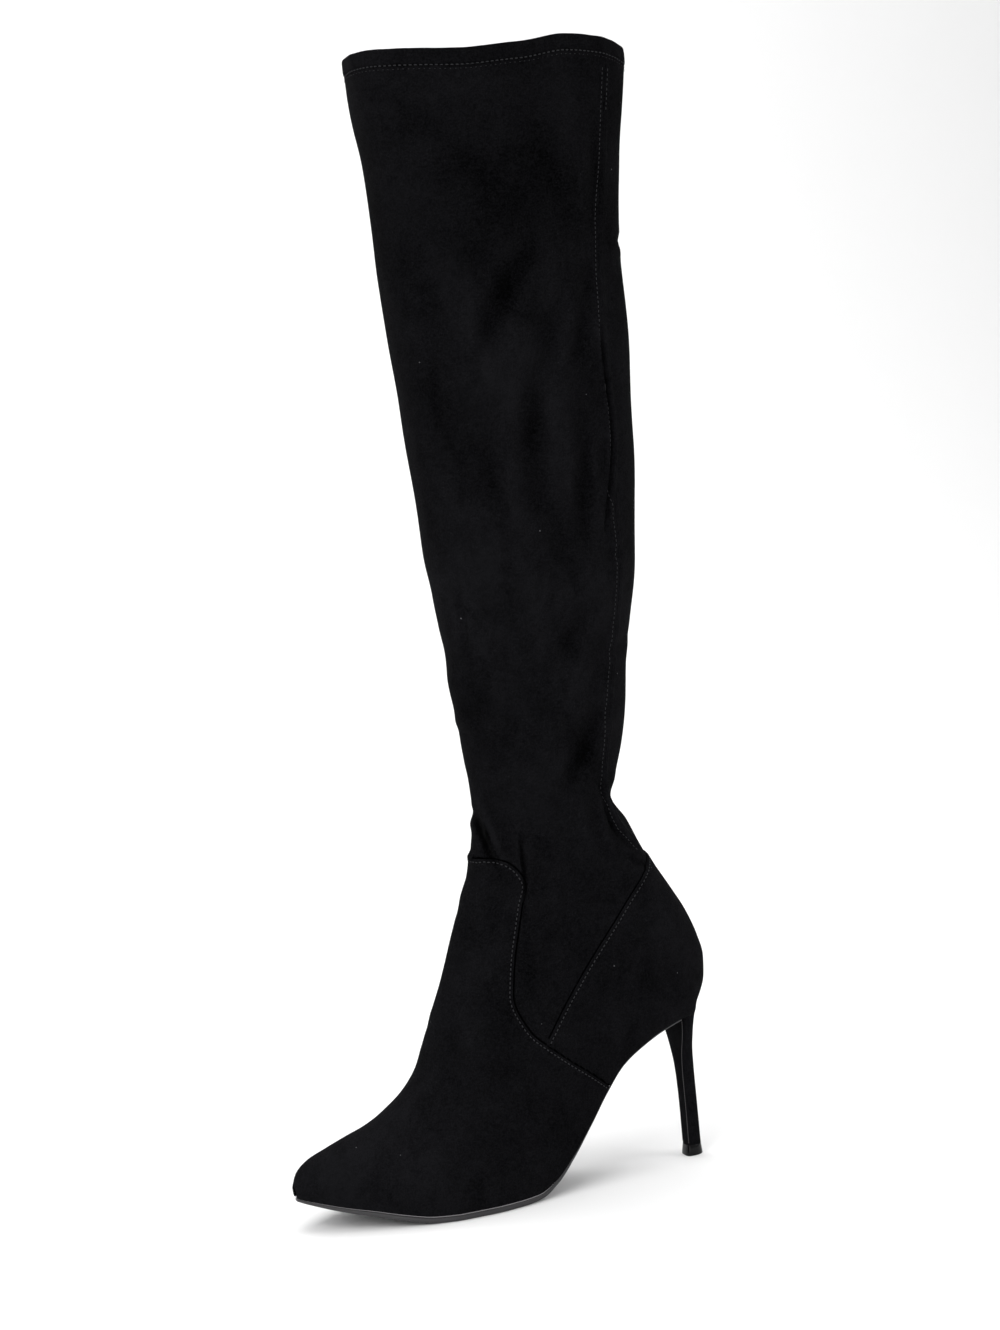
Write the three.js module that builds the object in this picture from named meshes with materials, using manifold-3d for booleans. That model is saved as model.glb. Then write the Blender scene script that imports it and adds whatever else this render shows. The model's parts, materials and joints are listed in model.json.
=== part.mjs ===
// A thigh high boot for the left foot, with a pointed toe and a stiletto heel. Lengths are in millimetres.
// +X runs to the toe, +Y to the outer side of the foot and +Z up. The origin is the middle of the heel tip's ground face.
import * as THREE from "three";
import { mergeVertices } from "three/addons/utils/BufferGeometryUtils.js";
import Module from "manifold-3d";

const wasm = await Module();
wasm.setup();

// Driving dimensions of the last and the shaft.
const FOOT_LENGTH = 245; // back of the upper to its toe tip
const HEEL_OVERHANG = 15; // back of the upper behind the middle of the heel tip
const SEAT_LIFT = 80; // rise of the sole from the tread to the back of the heel seat
const TOE_SPRING = 14.2; // rise of the sole from the tread to the toe tip
const BALL_WIDTH = 76; // upper, across the ball
const TREAD_WIDTH = 69; // outsole, across the ball
const INSTEP_DEPTH = 166; // back of the heel to the front of the ankle, the long heel measure
const ANKLE_RISE = 124; // back of the heel seat to the narrowest place at the back of the ankle
const ANKLE_DEPTH = 101; // front to back there, along its own slanting section
const ANKLE_WIDTH = 62; // side to side there
const COLLAR_HEIGHT = 612.5; // ground to the collar's edge where it has no swell
const COLLAR_DEPTH = 150.5; // front to back
const COLLAR_BACK = 10.5; // back of the collar behind the middle of the heel tip
const COLLAR_WIDTH = 84; // side to side, as slack as in the photograph
const COLLAR_CREST = 6.5; // scale of the swell of the collar's edge

// Thicknesses, and the gap between pieces that meet.
const UPPER_WALL = 1.8;
const OVERLAY_WALL = 1.1;
const HEM_WALL = 0.8; // what the turned hem adds outside the wall
const HEM_DEPTH = 10;
const SOLE_THICKNESS = 4;
const WAIST_THICKNESS = 1.8;
const TOE_THICKNESS = 2;
const INSOLE_THICKNESS = 2;
const GAP = 0.3;

// Heel.
const TIP_LENGTH = 9.6; // ground face of the top lift, along the foot
const TIP_WIDTH = 9;
const TOP_LIFT_HEIGHT = 6;

// Fineness of the faceted forms.
const RING_STEPS = 26; // quads round a section
const FOOT_STEPS = 26; // sections from the toe to the end of the heel seat
const BACK_STEPS = 10; // sections up the counter to the ankle
const LEG_STEPS = 15; // sections up the leg to the hem

// Sections under which the sole lies, from the toe back. Each leans forward by tilt degrees from upright.
// along: share of FOOT_LENGTH from the back of the counter. spring and lift: shares of TOE_SPRING and SEAT_LIFT.
// rise: share of INSTEP_DEPTH up the leaning section. outer, inner: half-widths as shares of BALL_WIDTH.
// treadOuter, treadInner: half-widths of the outsole as shares of TREAD_WIDTH. swing, ridge: sideways place of the
// section's foot and crest, shares of BALL_WIDTH. wide: height of the widest place. low, high: roundness below and above.
const FOOT_COLUMNS = [
  "along", "spring", "lift", "tilt", "rise", "outer", "inner", "treadOuter", "treadInner", "swing", "ridge", "wide",
  "low", "high",
];
const FOOT_ROWS = [
  [1.0, 1.0, 0, 6, 0.036, 0.035, 0.035, 0.022, 0.022, -0.03, -0.03, 0.45, 2.0, 2.0],
  [0.985, 0.93, 0, 6, 0.08, 0.1, 0.1, 0.072, 0.072, -0.03, -0.03, 0.43, 2.2, 1.9],
  [0.955, 0.81, 0, 6, 0.122, 0.175, 0.175, 0.15, 0.15, -0.028, -0.035, 0.4, 2.4, 1.8],
  [0.91, 0.635, 0, 6, 0.16, 0.26, 0.26, 0.24, 0.24, -0.024, -0.045, 0.37, 2.6, 1.75],
  [0.85, 0.43, 0, 8, 0.205, 0.345, 0.35, 0.33, 0.33, -0.016, -0.055, 0.34, 2.8, 1.7],
  [0.79, 0.2, 0, 10, 0.251, 0.42, 0.425, 0.41, 0.41, -0.008, -0.06, 0.32, 2.8, 1.7],
  [0.73, 0.03, 0, 12, 0.307, 0.47, 0.47, 0.465, 0.455, 0, -0.06, 0.32, 2.8, 1.7],
  [0.67, 0, 0, 14.5, 0.363, 0.5, 0.487, 0.5, 0.465, 0.002, -0.058, 0.32, 2.8, 1.7],
  [0.6, 0, 0, 18.5, 0.445, 0.505, 0.475, 0.5, 0.435, 0.003, -0.05, 0.33, 2.8, 1.7],
  [0.54, 0, 0, 22, 0.537, 0.485, 0.45, 0.47, 0.38, 0.003, -0.04, 0.34, 2.7, 1.7],
  [0.49, 0, 0.0075, 25, 0.604, 0.46, 0.425, 0.43, 0.325, 0.002, -0.032, 0.36, 2.6, 1.7],
  [0.445, 0, 0.065, 27.5, 0.652, 0.435, 0.405, 0.385, 0.28, 0, -0.025, 0.38, 2.5, 1.75],
  [0.395, 0, 0.195, 30.5, 0.679, 0.415, 0.39, 0.335, 0.245, 0, -0.02, 0.41, 2.4, 1.8],
  [0.345, 0, 0.369, 34, 0.697, 0.4, 0.38, 0.29, 0.225, 0, -0.015, 0.43, 2.4, 1.85],
  [0.295, 0, 0.57, 37.5, 0.713, 0.392, 0.375, 0.26, 0.215, 0, -0.01, 0.45, 2.4, 1.9],
  [0.245, 0, 0.741, 41, 0.734, 0.388, 0.375, 0.24, 0.21, 0, -0.005, 0.46, 2.3, 1.9],
  [0.19, 0, 0.8525, 44, 0.782, 0.39, 0.378, 0.235, 0.22, 0, 0, 0.47, 2.3, 1.95],
  [0.135, 0, 0.935, 46.5, 0.83, 0.392, 0.385, 0.235, 0.23, 0, 0, 0.48, 2.2, 2.0],
  [0.075, 0, 0.99, 48.5, 0.904, 0.395, 0.39, 0.215, 0.215, 0, 0, 0.48, 2.1, 2.0],
  [0.04, 0, 1.0, 49.5, 0.957, 0.395, 0.392, 0.11, 0.11, 0, 0, 0.49, 2.0, 2.0],
];

// Sections up the back of the counter to the ankle. along: share of FOOT_LENGTH. climb: share of ANKLE_RISE above the seat.
// depth: share of INSTEP_DEPTH. outer, inner: shares of ANKLE_WIDTH.
const BACK_COLUMNS = ["along", "climb", "tilt", "depth", "outer", "inner", "wide", "round"];
const BACK_ROWS = [
  [0.02, 0.065, 50, 0.974, 0.485, 0.482, 0.49, 2.0],
  [0.008, 0.137, 51, 0.979, 0.485, 0.483, 0.49, 2.0],
  [0.0053, 0.226, 52, 0.959, 0.486, 0.485, 0.49, 2.0],
  [0.0167, 0.324, 53.5, 0.919, 0.488, 0.487, 0.49, 2.0],
  [0.0392, 0.437, 54.3, 0.87, 0.49, 0.49, 0.49, 2.0],
  [0.0714, 0.551, 55, 0.806, 0.493, 0.493, 0.5, 2.0],
  [0.106, 0.6645, 55.3, 0.745, 0.496, 0.496, 0.5, 2.0],
  [0.136, 0.778, 55.8, 0.69, 0.498, 0.498, 0.5, 2.05],
  [0.1624, 0.892, 56.2, 0.65, 0.5, 0.5, 0.5, 2.05],
];

// Sections of the leg. climb: share of the way from the ankle to the hem. back: the back edge, as a share of COLLAR_DEPTH
// ahead of the back of the collar. depth, width: shares of the way from the ankle's size to the collar's.
const LEG_COLUMNS = ["climb", "back", "tilt", "depth", "width", "round"];
const LEG_ROWS = [
  [0, 0.285, 57, 0, 0, 2.05],
  [0.035, 0.262, 59.5, 0.045, 0.06, 2.1],
  [0.075, 0.23, 63, 0.1, 0.14, 2.1],
  [0.125, 0.203, 67.5, 0.11, 0.24, 2.1],
  [0.185, 0.182, 73, 0.135, 0.34, 2.15],
  [0.255, 0.152, 79, 0.205, 0.44, 2.15],
  [0.33, 0.116, 83.5, 0.36, 0.54, 2.2],
  [0.41, 0.096, 87, 0.45, 0.62, 2.2],
  [0.49, 0.083, 89, 0.52, 0.68, 2.25],
  [0.57, 0.077, 90, 0.575, 0.73, 2.25],
  [0.65, 0.074, 90, 0.65, 0.78, 2.25],
  [0.73, 0.074, 90, 0.68, 0.83, 2.3],
  [0.81, 0.067, 90, 0.73, 0.88, 2.3],
  [0.88, 0.048, 90, 0.81, 0.93, 2.35],
  [0.945, 0.022, 90, 0.93, 0.97, 2.4],
  [1, 0.003, 90, 1, 1, 2.4],
];

// The outer side of the vamp's edge, from the top of its tongue down to the sole, and the counter's front edge above it.
// along: share of FOOT_LENGTH. up: share of the way from the ground to the vamp's top.
const VAMP_TOP = 183; // ground to the top of the tongue
const VAMP_EDGE = [
  [0.64, 1.0],
  [0.547, 1.0],
  [0.496, 0.997],
  [0.4727, 0.978],
  [0.459, 0.949],
  [0.457, 0.923],
  [0.471, 0.869],
  [0.4967, 0.739],
  [0.5106, 0.6415],
  [0.513, 0.595],
  [0.5024, 0.546],
  [0.478, 0.486],
  [0.4445, 0.4426],
  [0.3935, 0.385],
  [0.339, 0.328],
  [0.3, 0.284],
  [0.26, 0.24],
  [0.2, 0.17],
];
const COUNTER_TOP = 172; // ground to where the counter's top edge meets the ankle's back
const COUNTER_EDGE = [
  [0.07, 1.1],
  [0.143, 1.0],
  [0.2037, 0.917],
  [0.254, 0.832],
  [0.316, 0.727],
  [0.378, 0.61],
  [0.438, 0.485],
];

const radians = (degrees) => (degrees * Math.PI) / 180;
const mix = (a, b, share) => a + (b - a) * share;
const smooth = (from, to, x) => {
  const t = Math.min(1, Math.max(0, (x - from) / (to - from)));
  return t * t * (3 - 2 * t);
};
const footX = (along) => along * FOOT_LENGTH - HEEL_OVERHANG;

// A table's rows as one function of the row number, smooth and without overshoot in every column.
function smoothTable(rows) {
  const last = rows.length - 1;
  const slope = (column, i) => {
    if (i === 0 || i === last) {
      const j = Math.min(i, last - 1);
      return rows[j + 1][column] - rows[j][column];
    }
    const before = rows[i][column] - rows[i - 1][column];
    const after = rows[i + 1][column] - rows[i][column];
    return before * after <= 0 ? 0 : (2 * before * after) / (before + after);
  };
  return (t) => {
    const i = Math.min(last - 1, Math.max(0, Math.floor(t)));
    const u = t - i;
    return rows[i].map((start, column) => {
      const end = rows[i + 1][column];
      const rising = slope(column, i) * (u - 2 * u * u + u * u * u);
      const arriving = slope(column, i + 1) * (u * u * u - u * u);
      return start + (end - start) * (3 * u * u - 2 * u * u * u) + rising + arriving;
    });
  };
}

const named = (columns, values) => Object.fromEntries(columns.map((name, i) => [name, values[i]]));

// Every section in millimetres: its lower or back point (x, z), its lean, height and half-widths.
function footSection(values) {
  const row = named(FOOT_COLUMNS, values);
  return {
    x: footX(row.along),
    z: SOLE_THICKNESS + row.spring * TOE_SPRING + row.lift * SEAT_LIFT,
    tilt: radians(row.tilt),
    height: row.rise * INSTEP_DEPTH,
    outer: row.outer * BALL_WIDTH,
    inner: row.inner * BALL_WIDTH,
    treadOuter: row.treadOuter * TREAD_WIDTH,
    treadInner: row.treadInner * TREAD_WIDTH,
    swing: row.swing * BALL_WIDTH,
    ridge: row.ridge * BALL_WIDTH,
    wide: row.wide,
    low: row.low,
    high: row.high,
  };
}

const SEAT_Z = SOLE_THICKNESS + SEAT_LIFT;
const ANKLE_Z = SEAT_Z + ANKLE_RISE;
const CLOSED = { treadOuter: 0, treadInner: 0, swing: 0, ridge: 0 };

function backSection(values) {
  const row = named(BACK_COLUMNS, values);
  return {
    ...CLOSED,
    x: footX(row.along),
    z: SEAT_Z + row.climb * ANKLE_RISE,
    tilt: radians(row.tilt),
    height: row.depth * INSTEP_DEPTH,
    outer: row.outer * ANKLE_WIDTH,
    inner: row.inner * ANKLE_WIDTH,
    wide: row.wide,
    low: row.round,
    high: row.round,
  };
}

function legSection(values) {
  const row = named(LEG_COLUMNS, values);
  const half = mix(ANKLE_WIDTH, COLLAR_WIDTH, row.width) / 2;
  return {
    ...CLOSED,
    x: row.back * COLLAR_DEPTH - COLLAR_BACK,
    z: mix(ANKLE_Z, COLLAR_HEIGHT - HEM_DEPTH, row.climb),
    tilt: radians(row.tilt),
    height: mix(ANKLE_DEPTH, COLLAR_DEPTH, row.depth),
    outer: half,
    inner: half,
    wide: 0.5,
    low: row.round,
    high: row.round,
  };
}

// The leg's rows are carried on from the back rows, so both share one run of sections in millimetres.
const sectionKeys = Object.keys(footSection(FOOT_ROWS[0]));
const bodyRows = [
  ...FOOT_ROWS.map(footSection),
  ...BACK_ROWS.map(backSection),
  ...LEG_ROWS.map(legSection),
].map((section) => sectionKeys.map((key) => section[key]));
const bodyTable = smoothTable(bodyRows);
const bodySection = (t) => named(sectionKeys, bodyTable(t));
const SEAT_END = FOOT_ROWS.length - 1;
const LEG_START = SEAT_END + BACK_ROWS.length + 1;
const HEM_START = bodyRows.length - 1;

// The point of a section at a share round it, from its outer tread edge (0) over the crest (0.5) to the inner one (1).
function sectionPoint(section, share) {
  const outside = share <= 0.5;
  const phi = (outside ? share * 4 - 1 : 3 - share * 4) * (Math.PI / 2);
  const width = outside ? section.outer : section.inner;
  const tread = outside ? section.treadOuter : section.treadInner;
  const below = phi < 0;
  const power = 2 / (below ? section.low : section.high);
  const across = Math.pow(Math.max(0, Math.cos(phi)), power);
  const along = Math.pow(Math.abs(Math.sin(phi)), power);
  const half = below ? mix(tread, width, across) : width * across;
  const shareUp = below ? section.wide * (1 - along) : mix(section.wide, 1, along);
  const up = shareUp * section.height;
  const middle = mix(section.swing, section.ridge, shareUp);
  return new THREE.Vector3(
    section.x + up * Math.sin(section.tilt),
    middle + (outside ? half : -half),
    section.z + up * Math.cos(section.tilt),
  );
}

// How far the collar's edge stands above the plain depth of the hem, as shares of COLLAR_CREST, in even steps from the
// back of the collar to its front: a swell behind the middle of each side, a dip ahead of it and a rise to the front.
const COLLAR_EDGE = [-0.16, -0.18, 0.2, 0.54, 0.68, 0.11, -0.18, -0.03, 0.18, 0.39, 0.45];
const collarTable = smoothTable(COLLAR_EDGE.map((swell) => [swell]));

function collarSwell(share) {
  const forward = (share <= 0.5 ? share : 1 - share) * 2;
  const [swell] = collarTable(forward * (COLLAR_EDGE.length - 1));
  return COLLAR_CREST * swell;
}

// The section numbers at which a form is sampled.
function sampled(from, to, steps) {
  return Array.from({ length: steps }, (_, i) => mix(from, to, i / steps));
}
const bodySteps = [
  ...sampled(0, SEAT_END, FOOT_STEPS),
  ...sampled(SEAT_END, LEG_START, BACK_STEPS),
  ...sampled(LEG_START, HEM_START, LEG_STEPS),
  HEM_START,
];

// The upper's outer surface as points and triangles: open under the foot and at the collar. Rows run from the toe up.
function bodySurface(steps) {
  const points = [];
  const triangles = [];
  const ids = steps.map((t) => {
    const section = bodySection(t);
    const open = t <= SEAT_END;
    const row = [];
    for (let j = 0; j <= RING_STEPS; j++) {
      if (j === RING_STEPS && !open) row.push(row[0]);
      else row.push(points.push(sectionPoint(section, j / RING_STEPS)) - 1);
    }
    return row;
  });
  const quad = (a, b, c, d) => triangles.push([a, b, c], [a, c, d]);
  for (let i = 0; i + 1 < ids.length; i++) {
    for (let j = 0; j < RING_STEPS; j++) quad(ids[i][j], ids[i + 1][j], ids[i + 1][j + 1], ids[i][j + 1]);
    const seatEnds = steps[i] <= SEAT_END && steps[i + 1] > SEAT_END;
    if (seatEnds) triangles.push([ids[i][RING_STEPS], ids[i + 1][0], ids[i][0]]);
  }
  if (steps[0] === 0) {
    const first = ids[0];
    const tip = new THREE.Vector3();
    first.forEach((id) => tip.add(points[id]));
    tip.multiplyScalar(1 / first.length);
    tip.x += 1;
    const tipId = points.push(tip) - 1;
    for (let j = 0; j < RING_STEPS; j++) triangles.push([tipId, first[j], first[j + 1]]);
    triangles.push([tipId, first[RING_STEPS], first[0]]);
  }
  return { points, triangles: triangles.filter(([a, b, c]) => a !== b && b !== c && a !== c), ids };
}

// Rings of the collar: the wall stands out by the hem's thickness and ends in the swelling edge.
function addHem(surface) {
  const top = surface.ids[surface.ids.length - 1];
  const base = top.map((id) => surface.points[id].clone());
  const levels = [0.06, 0.5, 1];
  let below = top;
  levels.forEach((level) => {
    const row = [];
    for (let j = 0; j < RING_STEPS; j++) {
      const from = base[j];
      const rise = (HEM_DEPTH + collarSwell(j / RING_STEPS)) * level;
      row.push(surface.points.push(new THREE.Vector3(from.x, from.y, from.z + rise)) - 1);
    }
    row.push(row[0]);
    for (let j = 0; j < RING_STEPS; j++) {
      surface.triangles.push([below[j], row[j], row[j + 1]], [below[j], row[j + 1], below[j + 1]]);
    }
    surface.ids.push(row);
    below = row;
  });
  return surface;
}

// Unit normals of a surface at its points.
function normalsOf({ points, triangles }) {
  const normals = points.map(() => new THREE.Vector3());
  const face = new THREE.Vector3();
  const edge = new THREE.Vector3();
  triangles.forEach(([a, b, c]) => {
    face.subVectors(points[b], points[a]).cross(edge.subVectors(points[c], points[a]));
    [a, b, c].forEach((id) => normals[id].add(face));
  });
  normals.forEach((normal) => normal.normalize());
  return normals;
}

// A closed wall between two offsets of an open surface, each a distance or a function of the point's number.
function wallGeometry(surface, inside, outside) {
  const { points, triangles } = surface;
  const normals = normalsOf(surface);
  const count = points.length;
  const distance = (offset, id) => (typeof offset === "function" ? offset(id) : offset);
  const shifted = (offset) => points.map((p, id) => p.clone().addScaledVector(normals[id], distance(offset, id)));
  const vertices = [...shifted(outside), ...shifted(inside)];
  const faces = [];
  const edges = new Set(triangles.flatMap(([a, b, c]) => [`${a},${b}`, `${b},${c}`, `${c},${a}`]));
  triangles.forEach(([a, b, c]) => faces.push(a, b, c, c + count, b + count, a + count));
  edges.forEach((edge) => {
    const [a, b] = edge.split(",").map(Number);
    if (!edges.has(`${b},${a}`)) faces.push(b, a, a + count, b, a + count, b + count);
  });
  return new THREE.BufferGeometry()
    .setAttribute("position", new THREE.Float32BufferAttribute(vertices.flatMap((v) => v.toArray()), 3))
    .setIndex(faces);
}

function solidOf(geometry) {
  const bare = new THREE.BufferGeometry()
    .setAttribute("position", geometry.getAttribute("position"))
    .setIndex(geometry.index);
  const merged = mergeVertices(bare, 1e-4);
  return new wasm.Manifold(
    new wasm.Mesh({
      numProp: 3,
      vertProperties: new Float32Array(merged.attributes.position.array),
      triVerts: new Uint32Array(merged.index.array),
    }),
  );
}

function geometryOf(solid) {
  const mesh = solid.getMesh();
  return new THREE.BufferGeometry()
    .setAttribute("position", new THREE.BufferAttribute(mesh.vertProperties, 3))
    .setIndex(new THREE.BufferAttribute(mesh.triVerts, 1));
}

// An outline in the side view, drawn through the whole width of the boot.
function sideCutter(outline) {
  const width = 4 * BALL_WIDTH;
  const shape = new THREE.Shape(outline.map(([x, z]) => new THREE.Vector2(x, z)));
  const prism = new THREE.ExtrudeGeometry(shape, { depth: width, bevelEnabled: false });
  prism.translate(0, 0, -width / 2);
  prism.rotateX(Math.PI / 2);
  return solidOf(mergeVertices(new THREE.BufferGeometry().setAttribute("position", prism.getAttribute("position"))));
}

// The point in the side view that lies at a height square above the last's underside, at a section number.
function underPoint(t, height) {
  const before = bodySection(Math.max(0, t - 0.1));
  const after = bodySection(Math.min(SEAT_END, t + 0.1));
  const here = bodySection(t);
  const run = new THREE.Vector2(before.x - after.x, before.z - after.z).normalize();
  return [here.x - run.y * height, here.z + run.x * height];
}

// Everything above a line that runs at a height square above the last's underside, drawn through the whole width.
function aboveSole(height) {
  const line = sampled(0, SEAT_END, FOOT_STEPS).concat(SEAT_END).map((t) => underPoint(t, height));
  const [before, end] = line.slice(-2);
  const behind = [end[0] - FOOT_LENGTH / 4, end[1] + ((end[1] - before[1]) / (before[0] - end[0])) * (FOOT_LENGTH / 4)];
  const far = footX(1.2);
  const top = 2 * COLLAR_HEIGHT;
  return sideCutter([[far, line[0][1]], ...line, behind, [behind[0], top], [far, top]]);
}

const edgeCurve = (edge, height) => {
  const curve = new THREE.SplineCurve(edge.map(([along, up]) => new THREE.Vector2(footX(along), up * height)));
  return curve.getPoints(edge.length * 3).map((p) => [p.x, p.y]);
};
const vampEdge = edgeCurve(VAMP_EDGE, VAMP_TOP);
const counterEdge = edgeCurve(COUNTER_EDGE, COUNTER_TOP);

const material = (color, roughness, metalness = 0) => new THREE.MeshStandardMaterial({ color, roughness, metalness });
const SUEDE = material(0x0d0d0f, 0.95);
const SOCK = material(0x1a1918, 0.7);
const SOLE_LEATHER = material(0x141416, 0.45);
const LIFT_PLASTIC = material(0x08080a, 0.2);

const boot = new THREE.Group();
function add(name, geometry, finish) {
  const mesh = new THREE.Mesh(geometry, finish);
  mesh.name = name;
  boot.add(mesh);
}

function upper() {
  const surface = bodySurface(bodySteps);
  const hemFrom = surface.points.length;
  addHem(surface);
  return wallGeometry(surface, -UPPER_WALL, (id) => (id >= hemFrom ? HEM_WALL : 0));
}

// The overlays lie on the upper's own surface, as far up as their edges reach.
const overlaySurface = () => bodySurface(bodySteps.filter((t) => t < LEG_START));
const overlayForm = () => solidOf(wallGeometry(overlaySurface(), GAP, GAP + OVERLAY_WALL));

const UNDER_SOLE = -2 * SOLE_THICKNESS; // where the overlays' outlines close, below everything

function vamp() {
  const far = footX(1.1);
  const top = VAMP_EDGE[0][1] * VAMP_TOP;
  const region = sideCutter([...vampEdge, [footX(0.26), UNDER_SOLE], [far, UNDER_SOLE], [far, top]]);
  return geometryOf(overlayForm().intersect(region).intersect(aboveSole(0)));
}

function counter() {
  const behind = footX(-0.1);
  const top = COUNTER_EDGE[0][1] * COUNTER_TOP;
  const end = counterEdge[counterEdge.length - 1];
  const seam = vampEdge.filter(([x, z]) => z < end[1] && x < end[0] + OVERLAY_WALL).map(([x, z]) => [x - 2 * GAP, z]);
  const region = sideCutter([...counterEdge, ...seam, [behind, UNDER_SOLE], [behind, top]]);
  return geometryOf(overlayForm().intersect(region).intersect(aboveSole(0)));
}

// The number of the section whose foot lies at x, among those over the sole.
function sectionAt(x) {
  let front = 0;
  let back = SEAT_END;
  for (let i = 0; i < 30; i++) {
    const middle = (front + back) / 2;
    if (bodySection(middle).x > x) front = middle;
    else back = middle;
  }
  return front;
}

// A flat layer that follows the last's underside: its faces lie at two heights above the feather line.
function underLayer(from, to, lower, upper, inset, edgeRound) {
  const steps = sampled(from, to, FOOT_STEPS).concat(to);
  const across = 2;
  const rows = steps.map((t) => {
    const section = bodySection(t);
    const at = (y, height) => {
      const [x, z] = underPoint(t, height);
      return new THREE.Vector3(x, y, z);
    };
    const low = typeof lower === "function" ? lower(t) : lower;
    const outer = Math.max(1, section.treadOuter - inset) + section.swing;
    const inner = -Math.max(1, section.treadInner - inset) + section.swing;
    const top = [];
    const bottom = [];
    for (let k = 0; k <= across; k++) {
      top.push(at(mix(outer, inner, k / across), upper));
      bottom.push(at(mix(outer - edgeRound, inner + edgeRound, k / across), low));
    }
    return [...top, ...bottom.reverse()];
  });
  const count = rows[0].length;
  const vertices = rows.flat();
  const faces = [];
  for (let i = 0; i + 1 < rows.length; i++) {
    for (let j = 0; j < count; j++) {
      const k = (j + 1) % count;
      faces.push(i * count + j, (i + 1) * count + j, (i + 1) * count + k);
      faces.push(i * count + j, (i + 1) * count + k, i * count + k);
    }
  }
  const cap = (start, turned) => {
    for (let j = 0; j < across; j++) {
      const a = start + j;
      const b = start + j + 1;
      const c = start + count - 2 - j;
      const d = start + count - 1 - j;
      if (turned) faces.push(a, c, b, a, d, c);
      else faces.push(a, b, c, a, c, d);
    }
  };
  cap(0, false);
  cap((rows.length - 1) * count, true);
  return new THREE.BufferGeometry()
    .setAttribute("position", new THREE.Float32BufferAttribute(vertices.flatMap((v) => v.toArray()), 3))
    .setIndex(faces);
}

// The outsole's thickness: thin at the toe, full under the tread and thin again under the waist, up to the heel's breast.
const TREAD_FRONT = 6; // section number
const WAIST_FRONT = 12; // section number
function soleThickness(t) {
  const towardTread = mix(TOE_THICKNESS, SOLE_THICKNESS, smooth(0, TREAD_FRONT, t));
  return mix(towardTread, WAIST_THICKNESS, smooth(WAIST_FRONT - 3, WAIST_FRONT + 1, t));
}
const outsole = () => underLayer(0, sectionAt(HEEL_BREAST + 2 * GAP), (t) => -soleThickness(t), -GAP, 0, 0.6);
const insole = () => underLayer(1.8, SEAT_END - 0.6, GAP, GAP + INSOLE_THICKNESS, UPPER_WALL + GAP, 0);

// The heel's sections from the top lift up. up: share of the way to the seat. back, front: ends along X from the middle
// of the tip as shares of TIP_LENGTH. width: share of TIP_WIDTH.
const HEEL_COLUMNS = ["up", "back", "front", "width"];
const HEEL_ROWS = [
  [0, -0.47, 0.42, 0.9],
  [0.24, -0.45, 0.42, 0.93],
  [0.485, -0.42, 0.46, 1.05],
  [0.6, -0.4, 0.5, 1.29],
  [0.69, -0.375, 0.55, 1.73],
  [0.77, -0.36, 0.59, 2.33],
  [0.835, -0.36, 0.63, 2.9],
  [0.92, -0.43, 0.68, 3.32],
  [1.0, -0.58, 0.75, 3.5],
  [1.06, -0.62, 0.77, 3.5],
];
const HEEL_RING = 18;
const HEEL_BREAST = 0.77 * TIP_LENGTH; // breast at the seat, ahead of the middle of the tip

// A section with a round back and a flat breast.
function heelRing(row, z) {
  const back = row.back * TIP_LENGTH;
  const front = row.front * TIP_LENGTH;
  const half = (row.width * TIP_WIDTH) / 2;
  const middle = mix(back, front, 0.62);
  const ring = [];
  for (let k = 0; k < HEEL_RING; k++) {
    const turn = (k / HEEL_RING) * 2 * Math.PI;
    const ahead = Math.cos(turn);
    const aside = Math.sin(turn);
    const x = ahead > 0 ? middle + (front - middle) * Math.pow(ahead, 0.35) : middle + (middle - back) * ahead;
    ring.push(new THREE.Vector3(x, half * Math.sign(aside) * Math.pow(Math.abs(aside), ahead > 0 ? 0.6 : 1), z));
  }
  return ring;
}

function ringLoft(rings) {
  const count = rings[0].length;
  const vertices = rings.flat();
  const faces = [];
  for (let i = 0; i + 1 < rings.length; i++) {
    for (let j = 0; j < count; j++) {
      const k = (j + 1) % count;
      faces.push(i * count + j, i * count + k, (i + 1) * count + k);
      faces.push(i * count + j, (i + 1) * count + k, (i + 1) * count + j);
    }
  }
  const top = (rings.length - 1) * count;
  for (let j = 1; j + 1 < count; j++) faces.push(0, j + 1, j, top, top + j, top + j + 1);
  return new THREE.BufferGeometry()
    .setAttribute("position", new THREE.Float32BufferAttribute(vertices.flatMap((v) => v.toArray()), 3))
    .setIndex(faces);
}

const heelTable = smoothTable(HEEL_ROWS);
function heel() {
  const steps = 14;
  const rings = [];
  for (let i = 0; i <= steps; i++) {
    const row = named(HEEL_COLUMNS, heelTable((i / steps) * (HEEL_ROWS.length - 1)));
    const z = mix(TOP_LIFT_HEIGHT + GAP, SEAT_Z, row.up);
    rings.push(heelRing(row, z));
  }
  return geometryOf(solidOf(ringLoft(rings)).subtract(aboveSole(-GAP)));
}

function topLift() {
  const ground = { back: -0.5, front: 0.5, width: 1 };
  const above = { back: -0.46, front: 0.43, width: 0.9 };
  return ringLoft([heelRing(ground, 0), heelRing(above, TOP_LIFT_HEIGHT)]);
}

add("upper", upper(), SUEDE);
add("vamp", vamp(), SUEDE);
add("counter", counter(), SUEDE);
add("insole", insole(), SOCK);
add("outsole", outsole(), SOLE_LEATHER);
add("heel", heel(), SUEDE);
add("top_lift", topLift(), LIFT_PLASTIC);

export default boot;
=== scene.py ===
import json
import math

import bpy
import numpy as np
from mathutils import Matrix, Vector

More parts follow.
